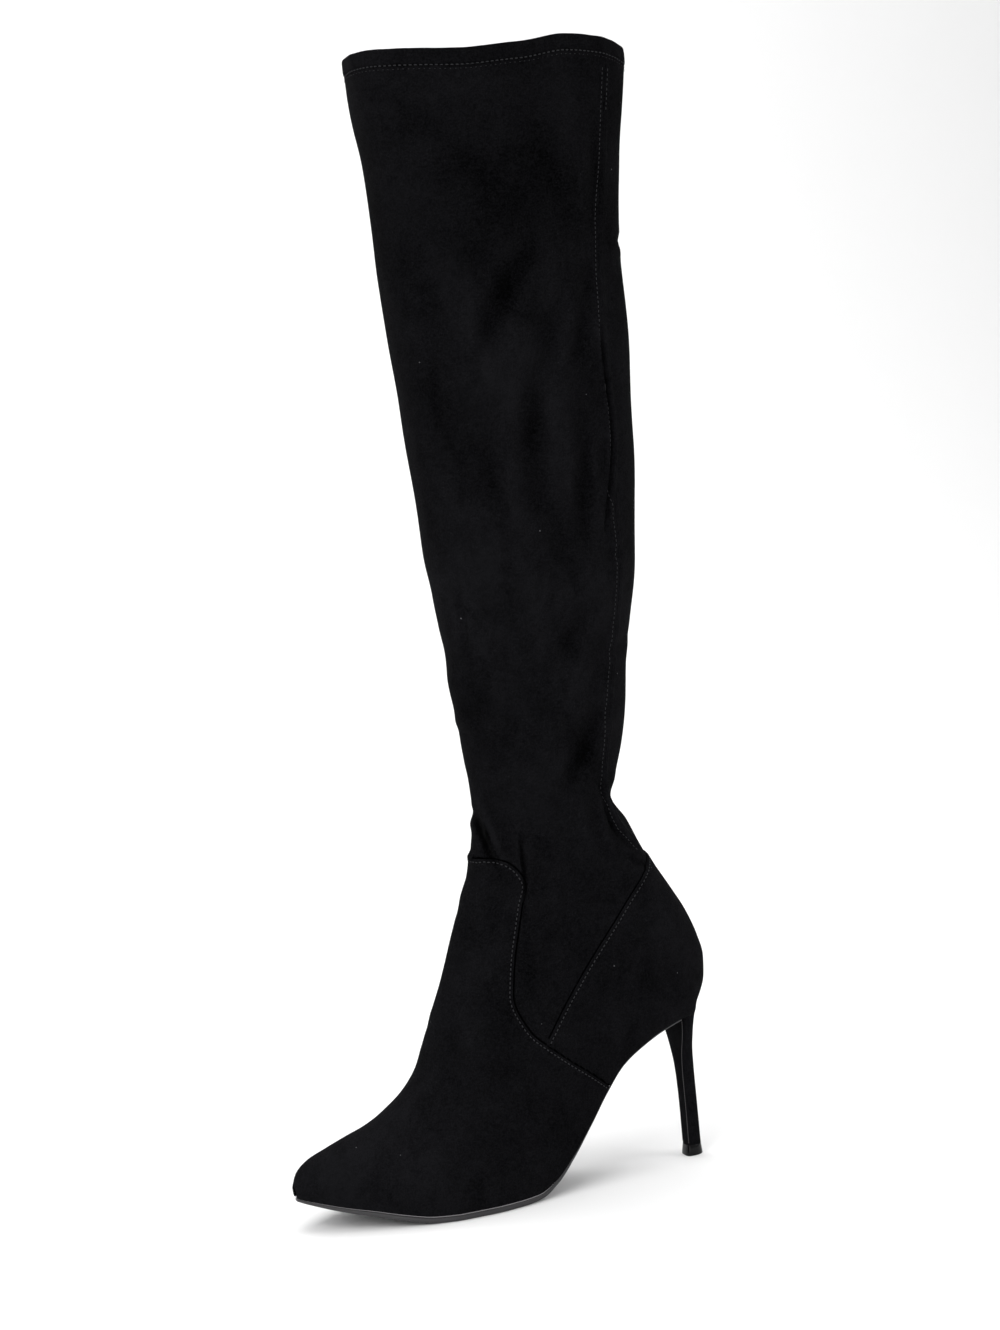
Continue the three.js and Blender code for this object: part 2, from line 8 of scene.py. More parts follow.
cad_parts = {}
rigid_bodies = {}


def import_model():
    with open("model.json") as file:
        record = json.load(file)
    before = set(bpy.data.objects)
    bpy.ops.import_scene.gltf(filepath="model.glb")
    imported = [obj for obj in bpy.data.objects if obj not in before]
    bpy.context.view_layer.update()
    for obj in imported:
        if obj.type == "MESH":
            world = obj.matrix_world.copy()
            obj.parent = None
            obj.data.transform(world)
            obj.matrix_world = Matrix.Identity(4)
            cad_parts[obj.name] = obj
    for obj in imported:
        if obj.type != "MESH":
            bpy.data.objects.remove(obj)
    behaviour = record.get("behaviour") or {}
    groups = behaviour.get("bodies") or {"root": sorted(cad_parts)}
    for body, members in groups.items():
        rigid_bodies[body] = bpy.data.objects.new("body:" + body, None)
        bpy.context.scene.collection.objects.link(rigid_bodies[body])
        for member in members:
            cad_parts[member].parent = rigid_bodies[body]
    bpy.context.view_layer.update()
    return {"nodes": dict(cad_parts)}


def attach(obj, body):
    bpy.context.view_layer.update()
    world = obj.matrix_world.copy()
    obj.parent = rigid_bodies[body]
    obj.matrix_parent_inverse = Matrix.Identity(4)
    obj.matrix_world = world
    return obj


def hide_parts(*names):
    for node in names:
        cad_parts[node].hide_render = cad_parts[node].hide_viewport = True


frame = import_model()

# Sizes in millimetres: +X to the toe, +Y to the outer side, +Z up, from the middle of the heel tip.
MM = 0.001
FOOT_LENGTH, HEEL_OVERHANG, SEAT_LIFT, TOE_SPRING = 245.0, 15.0, 80.0, 14.2
BALL_WIDTH, TREAD_WIDTH, INSTEP_DEPTH = 76.0, 69.0, 166.0
ANKLE_RISE, ANKLE_DEPTH, ANKLE_WIDTH = 124.0, 101.0, 62.0
COLLAR_HEIGHT, COLLAR_DEPTH, COLLAR_BACK, COLLAR_WIDTH, COLLAR_CREST = 612.5, 150.5, 10.5, 84.0, 6.5
UPPER_WALL, HEM_WALL, HEM_DEPTH = 1.8, 0.8, 10.0
SOLE_THICKNESS, WAIST_THICKNESS, TOE_THICKNESS = 4.0, 1.8, 2.0
TIP_LENGTH, TIP_WIDTH, TOP_LIFT_HEIGHT = 9.6, 9.0, 6.0
VAMP_TOP, COUNTER_TOP = 183.0, 172.0
PANEL = 1.2  # height of a suede panel over the upper
SOLE_GAP = 0.25  # least height of the upper's skin over the sole

# The boot's sections, from the toe to the collar, as the solids have them.
# Foot: place along it, shares of toe spring and seat lift, tilt, height, outer and inner half-width, the same
# of the tread, swing, ridge, share of the height where it is widest, powers below and above that.
FOOT_ROWS = [
    [1.0, 1.0, 0, 6, 0.036, 0.035, 0.035, 0.022, 0.022, -0.03, -0.03, 0.45, 2.0, 2.0],
    [0.985, 0.93, 0, 6, 0.08, 0.1, 0.1, 0.072, 0.072, -0.03, -0.03, 0.43, 2.2, 1.9],
    [0.955, 0.81, 0, 6, 0.122, 0.175, 0.175, 0.15, 0.15, -0.028, -0.035, 0.4, 2.4, 1.8],
    [0.91, 0.635, 0, 6, 0.16, 0.26, 0.26, 0.24, 0.24, -0.024, -0.045, 0.37, 2.6, 1.75],
    [0.85, 0.43, 0, 8, 0.205, 0.345, 0.35, 0.33, 0.33, -0.016, -0.055, 0.34, 2.8, 1.7],
    [0.79, 0.2, 0, 10, 0.251, 0.42, 0.425, 0.41, 0.41, -0.008, -0.06, 0.32, 2.8, 1.7],
    [0.73, 0.03, 0, 12, 0.307, 0.47, 0.47, 0.465, 0.455, 0, -0.06, 0.32, 2.8, 1.7],
    [0.67, 0, 0, 14.5, 0.363, 0.5, 0.487, 0.5, 0.465, 0.002, -0.058, 0.32, 2.8, 1.7],
    [0.6, 0, 0, 18.5, 0.445, 0.505, 0.475, 0.5, 0.435, 0.003, -0.05, 0.33, 2.8, 1.7],
    [0.54, 0, 0, 22, 0.537, 0.485, 0.45, 0.47, 0.38, 0.003, -0.04, 0.34, 2.7, 1.7],
    [0.49, 0, 0.0075, 25, 0.604, 0.46, 0.425, 0.43, 0.325, 0.002, -0.032, 0.36, 2.6, 1.7],
    [0.445, 0, 0.065, 27.5, 0.652, 0.435, 0.405, 0.385, 0.28, 0, -0.025, 0.38, 2.5, 1.75],
    [0.395, 0, 0.195, 30.5, 0.679, 0.415, 0.39, 0.335, 0.245, 0, -0.02, 0.41, 2.4, 1.8],
    [0.345, 0, 0.369, 34, 0.697, 0.4, 0.38, 0.29, 0.225, 0, -0.015, 0.43, 2.4, 1.85],
    [0.295, 0, 0.57, 37.5, 0.713, 0.392, 0.375, 0.26, 0.215, 0, -0.01, 0.45, 2.4, 1.9],
    [0.245, 0, 0.741, 41, 0.734, 0.388, 0.375, 0.24, 0.21, 0, -0.005, 0.46, 2.3, 1.9],
    [0.19, 0, 0.8525, 44, 0.782, 0.39, 0.378, 0.235, 0.22, 0, 0, 0.47, 2.3, 1.95],
    [0.135, 0, 0.935, 46.5, 0.83, 0.392, 0.385, 0.235, 0.23, 0, 0, 0.48, 2.2, 2.0],
    [0.075, 0, 0.99, 48.5, 0.904, 0.395, 0.39, 0.215, 0.215, 0, 0, 0.48, 2.1, 2.0],
    [0.04, 0, 1.0, 49.5, 0.957, 0.395, 0.392, 0.11, 0.11, 0, 0, 0.49, 2.0, 2.0],
]
# Back of the foot: place along it, share of the ankle's rise, tilt, height, outer and inner half-width, share
# of the height where it is widest, power.
BACK_ROWS = [
    [0.02, 0.065, 50, 0.974, 0.485, 0.482, 0.49, 2.0],
    [0.008, 0.137, 51, 0.979, 0.485, 0.483, 0.49, 2.0],
    [0.0053, 0.226, 52, 0.959, 0.486, 0.485, 0.49, 2.0],
    [0.0167, 0.324, 53.5, 0.919, 0.488, 0.487, 0.49, 2.0],
    [0.0392, 0.437, 54.3, 0.87, 0.49, 0.49, 0.49, 2.0],
    [0.0714, 0.551, 55, 0.806, 0.493, 0.493, 0.5, 2.0],
    [0.106, 0.6645, 55.3, 0.745, 0.496, 0.496, 0.5, 2.0],
    [0.136, 0.778, 55.8, 0.69, 0.498, 0.498, 0.5, 2.05],
    [0.1624, 0.892, 56.2, 0.65, 0.5, 0.5, 0.5, 2.05],
]
# Leg: share of the way up from the ankle, place of its back, tilt, shares of the way from the ankle's depth
# and width to the collar's, power.
LEG_ROWS = [
    [0, 0.285, 57, 0, 0, 2.05],
    [0.035, 0.262, 59.5, 0.045, 0.06, 2.1],
    [0.075, 0.23, 63, 0.1, 0.14, 2.1],
    [0.125, 0.203, 67.5, 0.11, 0.24, 2.1],
    [0.185, 0.182, 73, 0.135, 0.34, 2.15],
    [0.255, 0.152, 79, 0.205, 0.44, 2.15],
    [0.33, 0.116, 83.5, 0.36, 0.54, 2.2],
    [0.41, 0.096, 87, 0.45, 0.62, 2.2],
    [0.49, 0.083, 89, 0.52, 0.68, 2.25],
    [0.57, 0.077, 90, 0.575, 0.73, 2.25],
    [0.65, 0.074, 90, 0.65, 0.78, 2.25],
    [0.73, 0.074, 90, 0.68, 0.83, 2.3],
    [0.81, 0.067, 90, 0.73, 0.88, 2.3],
    [0.88, 0.048, 90, 0.81, 0.93, 2.35],
    [0.945, 0.022, 90, 0.93, 0.97, 2.4],
    [1, 0.003, 90, 1, 1, 2.4],
]
# Edges of the two panels: place along the foot and share of the panel's height.
VAMP_EDGE = [
    [0.64, 1.0], [0.547, 1.0], [0.496, 0.997], [0.4727, 0.978], [0.459, 0.949], [0.457, 0.923],
    [0.471, 0.869], [0.4967, 0.739], [0.5106, 0.6415], [0.513, 0.595], [0.5024, 0.546], [0.478, 0.486],
    [0.4445, 0.4426], [0.3935, 0.385], [0.339, 0.328], [0.3, 0.284], [0.26, 0.24], [0.2, 0.17],
]
COUNTER_EDGE = [
    [0.07, 1.1], [0.143, 1.0], [0.2037, 0.917], [0.254, 0.832], [0.316, 0.727], [0.378, 0.61], [0.438, 0.485],
]
# Heel: share of the way up to the seat, back, front and half-width as shares of the tip's.
HEEL_ROWS = [
    [0, -0.47, 0.42, 0.9],
    [0.24, -0.45, 0.42, 0.93],
    [0.485, -0.42, 0.46, 1.05],
    [0.6, -0.4, 0.5, 1.29],
    [0.69, -0.375, 0.55, 1.73],
    [0.77, -0.36, 0.59, 2.33],
    [0.835, -0.36, 0.63, 2.9],
    [0.92, -0.43, 0.68, 3.32],
    [1.0, -0.58, 0.75, 3.5],
    [1.06, -0.62, 0.77, 3.5],
]

SEAT_Z = SOLE_THICKNESS + SEAT_LIFT
ANKLE_Z = SEAT_Z + ANKLE_RISE


def foot_x(along):
    return along * FOOT_LENGTH - HEEL_OVERHANG


def mix(a, b, f):
    return a + (b - a) * f


def smooth(a, b, x):
    f = np.clip((np.asarray(x, float) - a) / (b - a), 0, 1)
    return f * f * (3 - 2 * f)


def smooth_table(rows):
    """The rows as one smooth function of the row number, without overshoot."""
    r = np.array(rows, float)
    step = r[1:] - r[:-1]
    both = step[1:] * step[:-1]
    total = np.where(np.abs(step[1:] + step[:-1]) < 1e-12, 1, step[1:] + step[:-1])
    inner = np.where(both > 0, 2 * both / total, 0)
    slope = np.vstack([step[:1], inner, step[-1:]])

    def at(t):
        t = np.asarray(t, float)
        i = np.clip(np.floor(t).astype(int), 0, len(r) - 2)
        u = (t - i)[..., None]
        ease = 3 * u * u - 2 * u ** 3
        return r[i] + step[i] * ease + slope[i] * (u - 2 * u * u + u ** 3) + slope[i + 1] * (u ** 3 - u * u)

    return at


# A section: x, z, tilt, height, outer and inner half-width, the same of the tread, swing, ridge, share of the
# height where it is widest, powers below and above that.
def foot_section(r):
    return [foot_x(r[0]), SOLE_THICKNESS + r[1] * TOE_SPRING + r[2] * SEAT_LIFT, math.radians(r[3]),
            r[4] * INSTEP_DEPTH, r[5] * BALL_WIDTH, r[6] * BALL_WIDTH, r[7] * TREAD_WIDTH, r[8] * TREAD_WIDTH,
            r[9] * BALL_WIDTH, r[10] * BALL_WIDTH, r[11], r[12], r[13]]


def back_section(r):
    return [foot_x(r[0]), SEAT_Z + r[1] * ANKLE_RISE, math.radians(r[2]), r[3] * INSTEP_DEPTH,
            r[4] * ANKLE_WIDTH, r[5] * ANKLE_WIDTH, 0, 0, 0, 0, r[6], r[7], r[7]]


def leg_section(r):
    half = mix(ANKLE_WIDTH, COLLAR_WIDTH, r[4]) / 2
    z = mix(ANKLE_Z, COLLAR_HEIGHT - HEM_DEPTH, r[0])
    depth = mix(ANKLE_DEPTH, COLLAR_DEPTH, r[3])
    return [r[1] * COLLAR_DEPTH - COLLAR_BACK, z, math.radians(r[2]), depth,
            half, half, 0, 0, 0, 0, 0.5, r[5], r[5]]


BODY = [foot_section(r) for r in FOOT_ROWS]
BODY += [back_section(r) for r in BACK_ROWS]
BODY += [leg_section(r) for r in LEG_ROWS]
body_at = smooth_table(BODY)
SEAT_END = len(FOOT_ROWS) - 1
LEG_START = SEAT_END + len(BACK_ROWS) + 1
HEM_START = len(BODY) - 1


def base(t, s):
    """Points of the upper's plain outer face at section numbers t and shares s round the section."""
    t, s = np.broadcast_arrays(np.asarray(t, float), np.asarray(s, float))
    section = np.moveaxis(body_at(t), -1, 0)
    x, z, tilt, height, outer, inner, tread_o, tread_i, swing, ridge, wide, low, high = section
    out = s <= 0.5
    phi = np.where(out, s * 4 - 1, 3 - s * 4) * (math.pi / 2)
    width = np.where(out, outer, inner)
    tread = np.where(out, tread_o, tread_i)
    below = phi < 0
    power = 2 / np.where(below, low, high)
    across = np.clip(np.cos(phi), 0, 1) ** power
    along = np.abs(np.sin(phi)) ** power
    half = np.where(below, tread + (width - tread) * across, width * across)
    share = np.where(below, wide * (1 - along), wide + (1 - wide) * along)
    up = share * height
    middle = swing + (ridge - swing) * share
    return np.stack([x + up * np.sin(tilt), middle + np.where(out, half, -half), z + up * np.cos(tilt)], -1)


def wrapped(s):
    return np.mod(s, 1.0)


def tangents(t, s):
    """Steps of the plain face along t and s, per unit."""
    e = 1e-3
    t0, t1 = np.clip(t - e, 0, HEM_START), np.clip(t + e, 0, HEM_START)
    closed = t > SEAT_END
    s0 = np.where(closed, wrapped(s - e), np.clip(s - e, 0, 1))
    s1 = np.where(closed, wrapped(s + e), np.clip(s + e, 0, 1))
    width = np.where(closed, 2 * e, np.clip(s + e, 0, 1) - np.clip(s - e, 0, 1))
    pt = (base(t1, s) - base(t0, s)) / (t1 - t0)[..., None]
    ps = (base(t, s1) - base(t, s0)) / width[..., None]
    return pt, ps


def normals(t, s):
    t, s = np.broadcast_arrays(np.asarray(t, float), np.asarray(s, float))
    pt, ps = tangents(t, s)
    n = np.cross(pt, ps)
    return n / np.maximum(np.linalg.norm(n, axis=-1, keepdims=True), 1e-9)


# Folds and creases, read off the side view as points (x, z). Each lies on the outer side (1), the inner side
# (-1) or both (0), and has a half-width, a depth (below 0 for a ridge) and the share that rises beside it.
FOLDS = [
    # Ankle, back: the fabric behind the seam rolls out, with two creases running down to the counter.
    ([(43, 232), (42, 218), (42, 208), (40, 200), (36, 193), (29, 185), (25, 179)], 1, 1.5, -1.5, 0.0),
    ([(46, 222), (45, 212), (45, 205), (42, 195), (36, 187), (30, 181)], 1, 2.2, 2.0, 0.15),
    ([(48, 216), (48.5, 208), (48.5, 200), (47.5, 191), (44, 184)], 1, 1.6, -1.3, 0.0),
    ([(53, 214), (54, 200), (52, 188), (47, 178)], 1, 3.6, 1.1, 0.2),
    ([(36, 180), (31, 174), (22, 171)], 0, 1.6, 1.1, 0.3),
    ([(40, 192), (34, 184), (26, 178)], 0, 3.4, -0.6, 0.0),
    ([(40, 226), (36, 216), (32, 207)], 1, 2.4, 0.9, 0.3),
    ([(30, 202), (38, 196), (50, 186)], -1, 3.0, 1.6, 0.5),
    ([(40, 226), (52, 214), (70, 206)], -1, 3.6, 1.7, 0.5),
    ([(26, 186), (40, 178), (54, 174)], -1, 2.6, 1.1, 0.5),
    # Ankle, front: the outer side folds over the front, above the vamp's crease.
    ([(111, 222), (109, 209), (107.5, 199), (106, 190), (103, 182)], 1, 1.7, -2.2, 0.0),
    ([(116, 222), (113.5, 208), (111.5, 199), (110, 190), (107, 183)], 1, 1.7, 2.4, 0.0),
    ([(108, 202), (111, 195), (113.5, 186)], 1, 1.3, -0.9, 0.0),
    ([(93, 197), (94, 190), (93.5, 181), (94, 172), (96, 162), (97, 150)], 1, 1.3, 1.35, 0.5),
    ([(104, 214), (101, 200), (99, 188)], 1, 3.6, 0.9, 0.4),
    ([(78, 196), (84, 180), (87, 162), (90, 146)], 1, 5.0, 0.8, 0.3),
    ([(113, 212), (104, 200), (100, 186)], -1, 2.6, 1.5, 0.6),
    ([(96, 196), (93, 180), (95, 160)], -1, 1.8, 1.0, 0.5),
    # Shaft, from the calf down to the ankle.
    ([(44, 262), (50, 252), (56, 240), (64, 229), (68, 219)], 1, 5.0, 2.2, 0.55),
    ([(36, 330), (44, 313), (55, 281), (65, 262), (79, 239)], 1, 5.5, -1.5, 0.2),
    ([(40, 322), (47, 313), (62, 298), (78, 284)], 1, 4.5, 1.1, 0.4),
    ([(115, 336), (113.5, 318), (113, 300)], 1, 1.2, 0.7, 0.6),
    ([(96, 262), (99, 246), (101, 230)], 1, 5.0, 0.9, 0.4),
    ([(34, 340), (60, 322), (92, 300)], 1, 9.0, -1.0, 0.0),
    # Slack folds at the knee and calf.
    ([(63, 508), (72, 498), (80, 488), (90, 466), (98, 453)], 1, 6.5, 2.3, 0.6),
    ([(58, 485), (70, 476), (80, 466), (85, 452), (87, 436)], 1, 7.0, -1.8, 0.1),
    ([(54, 476), (62, 454), (69, 430), (74, 409), (74, 390), (75, 366)], 1, 6.5, 2.1, 0.5),
    ([(31, 495), (36, 474), (41, 460), (45, 444)], 1, 4.6, 1.6, 0.5),
    ([(42, 418), (44, 396), (46, 376), (49, 350)], 1, 4.6, 1.6, 0.5),
    ([(38, 408), (38, 388), (37, 362), (37, 342)], 1, 1.6, -0.8, 0.0),
    ([(22, 572), (24, 545), (26, 515)], 1, 3.6, 1.0, 0.3),
    ([(28, 464), (26.5, 440), (25, 420), (25.5, 404), (28, 388), (31, 372), (35, 356)], 1, 1.3, 1.9, 0.6),
    ([(119, 452), (119, 436), (119.5, 416)], 1, 2.2, 1.0, 0.4),
    ([(100, 470), (96, 440), (98, 415)], 1, 6.0, -0.9, 0.0),
    ([(128, 494), (122, 488), (112, 492)], 1, 2.6, 0.8, 0.4),
    ([(104, 560), (92, 552), (84, 535)], 1, 7.0, 1.0, 0.4),
    ([(60, 590), (56, 560), (50, 535)], 1, 8.0, 1.0, 0.3),
    ([(96, 400), (94, 372), (90, 348)], 1, 5.0, 0.8, 0.4),
    ([(18, 300), (26, 292), (40, 290)], 0, 3.5, 0.9, 0.4),
    ([(16, 348), (26, 342), (38, 344)], 0, 3.0, 0.8, 0.4),
    ([(0, 512), (8, 507), (18, 508)], 0, 2.6, 0.9, 0.4),
    # The inner side, which the photograph hides: the same kind of slack folds.
    ([(104, 548), (84, 536), (58, 520), (40, 498)], -1, 7.0, 1.7, 0.5),
    ([(110, 470), (88, 452), (60, 446), (36, 430)], -1, 6.0, 1.9, 0.5),
    ([(50, 430), (58, 400), (64, 372)], -1, 4.0, 1.4, 0.5),
    ([(104, 384), (80, 366), (52, 362), (30, 350)], -1, 6.0, 1.7, 0.5),
    ([(30, 310), (56, 292), (92, 286)], -1, 5.0, 1.5, 0.5),
    ([(38, 262), (58, 248), (92, 250)], -1, 4.5, 1.5, 0.5),
]
COLLAR_FLARE = 3.4  # how far the collar's front stands out
SHIN_SWELL, SHIN_DIP = 0.9, 1.1  # of the front, over the ankle
HEEL_TUCK = 4.2  # how far the counter rounds in over the heel
SLACK, SHORT_SLACK = 0.5, 0.35  # of the shaft's long and short undulations


def along_line(x, z, line):
    """Distance to the nearest place of a line of points in the side view, and the share along the line."""
    pts = np.array(line, float)
    best = np.full(x.shape, 1e9)
    where = np.zeros(x.shape)
    lengths = np.linalg.norm(np.diff(pts, axis=0), axis=1)
    total, done = lengths.sum(), 0.0
    for a, b, length in zip(pts, pts[1:], lengths):
        d = (b - a) / length
        u = (x - a[0]) * d[0] + (z - a[1]) * d[1]
        v = (x - a[0]) * -d[1] + (z - a[1]) * d[0]
        distance = np.hypot(u - np.clip(u, 0, length), v)
        near = distance < best
        best = np.where(near, distance, best)
        where = np.where(near, (done + u) / total, where)
        done += length
    return best, where


def waves(p):
    """Height of folds and creases over the plain face at points p, in millimetres."""
    x, y, z = p[..., 0], p[..., 1], p[..., 2]
    h = np.zeros(x.shape)
    on_side = {1: smooth(0, 12, y), -1: smooth(0, 12, -y), 0: 1.0}
    for line, side, width, depth, rise in FOLDS:
        d, f = along_line(x, z, line)
        ends = smooth(-0.12, 0.18, f) * (1 - smooth(0.82, 1.12, f))
        trough = np.exp(-(d / width) ** 2)
        ridge = np.exp(-((d - 1.9 * width) / (0.9 * width)) ** 2) if rise else 0.0
        h += on_side[side] * ends * depth * (rise * ridge - trough)
    # The collar's front flares, the shin swells and dips, and the counter rounds in over the heel.
    h += COLLAR_FLARE * smooth(560, 604, z) * smooth(96, 132, x)
    shin = SHIN_SWELL * np.exp(-((z - 243) / 13) ** 2) - SHIN_DIP * np.exp(-((z - 265) / 9) ** 2)
    h += smooth(98, 112, x) * shin
    h -= HEEL_TUCK * (1 - smooth(SEAT_Z - 1, SEAT_Z + 9, z)) * (1 - smooth(-9, 0, x))
    # The slack shaft undulates a little all over.
    leg = smooth(215, 300, z)
    h += leg * SLACK * np.sin(z * 0.041 + x * 0.05 + 1.3) * np.sin(x * 0.045 - z * 0.012 + y * 0.03)
    h += leg * SHORT_SLACK * np.sin(z * 0.083 - x * 0.06 + y * 0.05 + 0.4)
    return h


def face(t, s, lift=0.0):
    """Points of the creased outer face, raised by lift. Over the sole none lies lower than SOLE_GAP."""
    p, n = base(t, s), normals(t, s)
    p = p + n * (waves(p) + lift)[..., None]
    x, z, tilt = np.moveaxis(body_at(np.asarray(t, float)), -1, 0)[:3]
    up = np.stack(np.broadcast_arrays(np.sin(tilt), 0 * tilt, np.cos(tilt)), -1)
    height = (p[..., 0] - x) * up[..., 0] + (p[..., 2] - z) * up[..., 2]
    sunk = np.where(np.asarray(t) < SEAT_END - 1, np.maximum(SOLE_GAP - height, 0), 0)
    return p + up * sunk[..., None]


# Seams and edges, found on the face from their places in the side view.
CURVE_STEPS = 12


def curve(points):
    """A smooth curve through points, finely sampled."""
    p = np.array(points, float)
    ends = np.vstack([2 * p[0] - p[1], p, 2 * p[-1] - p[-2]])
    out = []
    for a, b, c, d in zip(ends, ends[1:], ends[2:], ends[3:]):
        for u in np.linspace(0, 1, CURVE_STEPS, endpoint=False):
            out.append(0.5 * (2 * b + (c - a) * u + (2 * a - 5 * b + 4 * c - d) * u * u
                              + (3 * b - a - 3 * c + d) * u ** 3))
    out.append(p[-1])
    return np.array(out)


SCAN = np.linspace(0.02, HEM_START, 6000)
SCAN_ROWS = body_at(SCAN)


def on_face(x, z):
    """Section number and share of the point of the outer side that lies at x, z in the side view, or None."""
    r = SCAN_ROWS
    sine, cosine = np.sin(r[:, 2]), np.cos(r[:, 2])
    off = (x - r[:, 0]) * cosine - (z - r[:, 1]) * sine
    cross = np.where(off[1:] * off[:-1] <= 0)[0]
    best = None
    for i in cross:
        f = off[i] / (off[i] - off[i + 1]) if off[i] != off[i + 1] else 0
        t = SCAN[i] + f * (SCAN[i + 1] - SCAN[i])
        row = body_at(np.array(t))
        up = ((x - row[0]) * math.sin(row[2]) + (z - row[1]) * math.cos(row[2])) / row[3]
        miss = max(0, -up, up - 1)
        if best is None or miss < best[0]:
            best = (miss, t, min(1, max(0, up)), row)
    if best is None or best[0] > 0.02:
        return None
    _, t, up, row = best
    wide, low, high = row[10], row[11], row[12]
    if up < wide:
        phi = -math.asin((1 - up / wide) ** (low / 2))
    else:
        phi = math.asin(min(1, ((up - wide) / (1 - wide)) ** (high / 2)))
    return t, (phi / (math.pi / 2) + 1) / 4


def traced(points, side=1):
    """A curve given in the side view as (t, s) on the outer (1) or inner (-1) side of the face."""
    found = [on_face(x, z) for x, z in curve(points)]
    ts = np.array([f for f in found if f])
    if side < 0:
        ts[:, 1] = 1 - ts[:, 1]
    return ts


def march(ts, distance, side):
    """Moves a traced curve over the face by a distance, in small steps, square to its run.

    Side 1 is the way of the cross product of the face's normal and the curve's run, side -1 the other.
    """
    t, s = ts[:, 0].copy(), ts[:, 1].copy()
    steps = max(1, int(abs(distance) / 0.5))
    for _ in range(steps):
        pt, ps = tangents(t, s)
        n = normals(t, s)
        p = base(t, s)
        run = np.gradient(p, axis=0)
        run /= np.maximum(np.linalg.norm(run, axis=1, keepdims=True), 1e-9)
        way = np.cross(n, run) * side * distance / steps
        a, b, c = (pt * pt).sum(1), (pt * ps).sum(1), (ps * ps).sum(1)
        u, v = (way * pt).sum(1), (way * ps).sum(1)
        det = np.maximum(a * c - b * b, 1e-9)
        t = np.clip(t + (u * c - v * b) / det, 0.01, HEM_START)
        s = s + (v * a - u * b) / det
        s = np.where(t > SEAT_END, wrapped(s), np.clip(s, 0, 1))
    return np.stack([t, s], 1)


def evenly(ts, spacing):
    """A traced curve resampled to even steps over the face."""
    p = base(ts[:, 0], ts[:, 1])
    run = np.r_[0, np.cumsum(np.linalg.norm(np.diff(p, axis=0), axis=1))]
    at = np.linspace(0, run[-1], max(2, int(run[-1] / spacing) + 1))
    s = np.unwrap(ts[:, 1], period=1.0)
    return np.stack([np.interp(at, run, ts[:, 0]), np.mod(np.interp(at, run, s), 1.0)], 1)


# Patches of painted shade (-) and painted highlight (+) on the suede: x, z, half-length, half-width, slant,
# amount.
SHADE_AND_HIGHLIGHT_PATCHES = [
    (80, 486, 34, 9, 58, -0.26), (72, 452, 30, 11, 68, 0.34), (70, 420, 44, 8, 86, -0.24),
    (40, 470, 34, 7, 76, -0.2), (46, 385, 40, 7, 92, -0.2), (24, 430, 60, 6, 90, 0.14),
    (120, 436, 26, 7, 88, -0.2), (104, 470, 40, 12, 80, 0.12), (66, 568, 40, 16, 20, -0.13),
    (92, 538, 26, 16, 40, -0.15), (118, 560, 26, 12, 10, 0.16), (44, 545, 30, 12, 60, -0.14),
    (62, 320, 26, 14, 30, 0.16), (62, 298, 24, 8, 40, -0.14), (57, 278, 40, 8, 50, 0.16),
    (56, 240, 30, 10, 55, -0.3), (104, 300, 60, 8, 80, 0.1), (86, 225, 20, 12, 60, 0.08),
    (44, 192, 16, 5, 62, -0.18), (20, 545, 44, 5, 84, -0.14), (58, 405, 34, 9, 82, 0.22),
    (92, 425, 44, 9, 92, 0.2), (112, 500, 26, 9, 60, 0.18), (96, 400, 30, 7, 86, -0.14),
    (60, 350, 24, 9, 70, -0.12), (30, 110, 22, 10, 30, -0.14), (12, 130, 22, 9, 60, 0.12),
    (60, 120, 26, 9, 60, -0.12), (130, 70, 26, 12, -30, -0.14), (190, 45, 24, 10, -20, 0.12),
    (160, 40, 20, 8, -20, 0.1), (100, 120, 30, 9, -60, -0.1), (111.5, 202, 20, 1.7, 77, -1.0),
    (107.5, 201, 18, 1.8, 77, 0.5), (94, 180, 17, 1.3, 91, -0.6),
]
PATCH_WEIGHT, PATCH_FALL = 0.8, 1.3
FOLD_SHADING = 0.09  # painted shade and highlight per millimetre of a fold's height, darker where it sinks and lighter where it rises


def painted_shade_and_tone_at(p, h):
    """Painted shade and highlight of the suede at points p where the folds have height h, with broad zones of
    tone. Lower is darker.
    """
    # Painted shade in the folds' troughs and painted highlight on their ridges.
    x, z, tone = p[:, 0], p[:, 2], np.clip(h * FOLD_SHADING, -0.2, 0.14)
    outer = smooth(-6, 10, p[:, 1])
    # Patches of painted shade and highlight, on the outer side.
    for px, pz, long, wide, slant, amount in SHADE_AND_HIGHLIGHT_PATCHES:
        a = math.radians(slant)
        u = (x - px) * math.cos(a) + (z - pz) * math.sin(a)
        v = -(x - px) * math.sin(a) + (z - pz) * math.cos(a)
        spot = np.exp(-((u / long) ** 2 + (v / wide) ** 2) * PATCH_FALL)
        tone = tone + PATCH_WEIGHT * outer * amount * spot
    # Broad zones: the thigh is darker, and the calf, the counter, the toe and the heel are lighter.
    tone = tone - 0.1 * smooth(380, 560, z) + 0.1 * smooth(240, 300, z) * (1 - smooth(330, 420, z))
    tone = tone + 0.1 * (1 - smooth(30, 60, x)) * (1 - smooth(150, 190, z)) * smooth(70, 90, z)
    tone = tone + 0.2 * smooth(110, 190, x) * (1 - smooth(60, 120, z))
    return tone + 0.16 * (1 - smooth(70, 86, z)) * (1 - smooth(20, 40, x))


def add_painted_shade_and_tone(o):
    """Writes the painted shade, highlight and tone on a piece's points, for the suede to read."""
    v = np.empty(len(o.data.vertices) * 3)
    o.data.vertices.foreach_get("co", v)
    p = v.reshape(-1, 3) / MM
    o.data.attributes.new("painted_shade_and_tone", "FLOAT", "POINT").data.foreach_set("value", painted_shade_and_tone_at(p, waves(p)))


PIECES = []


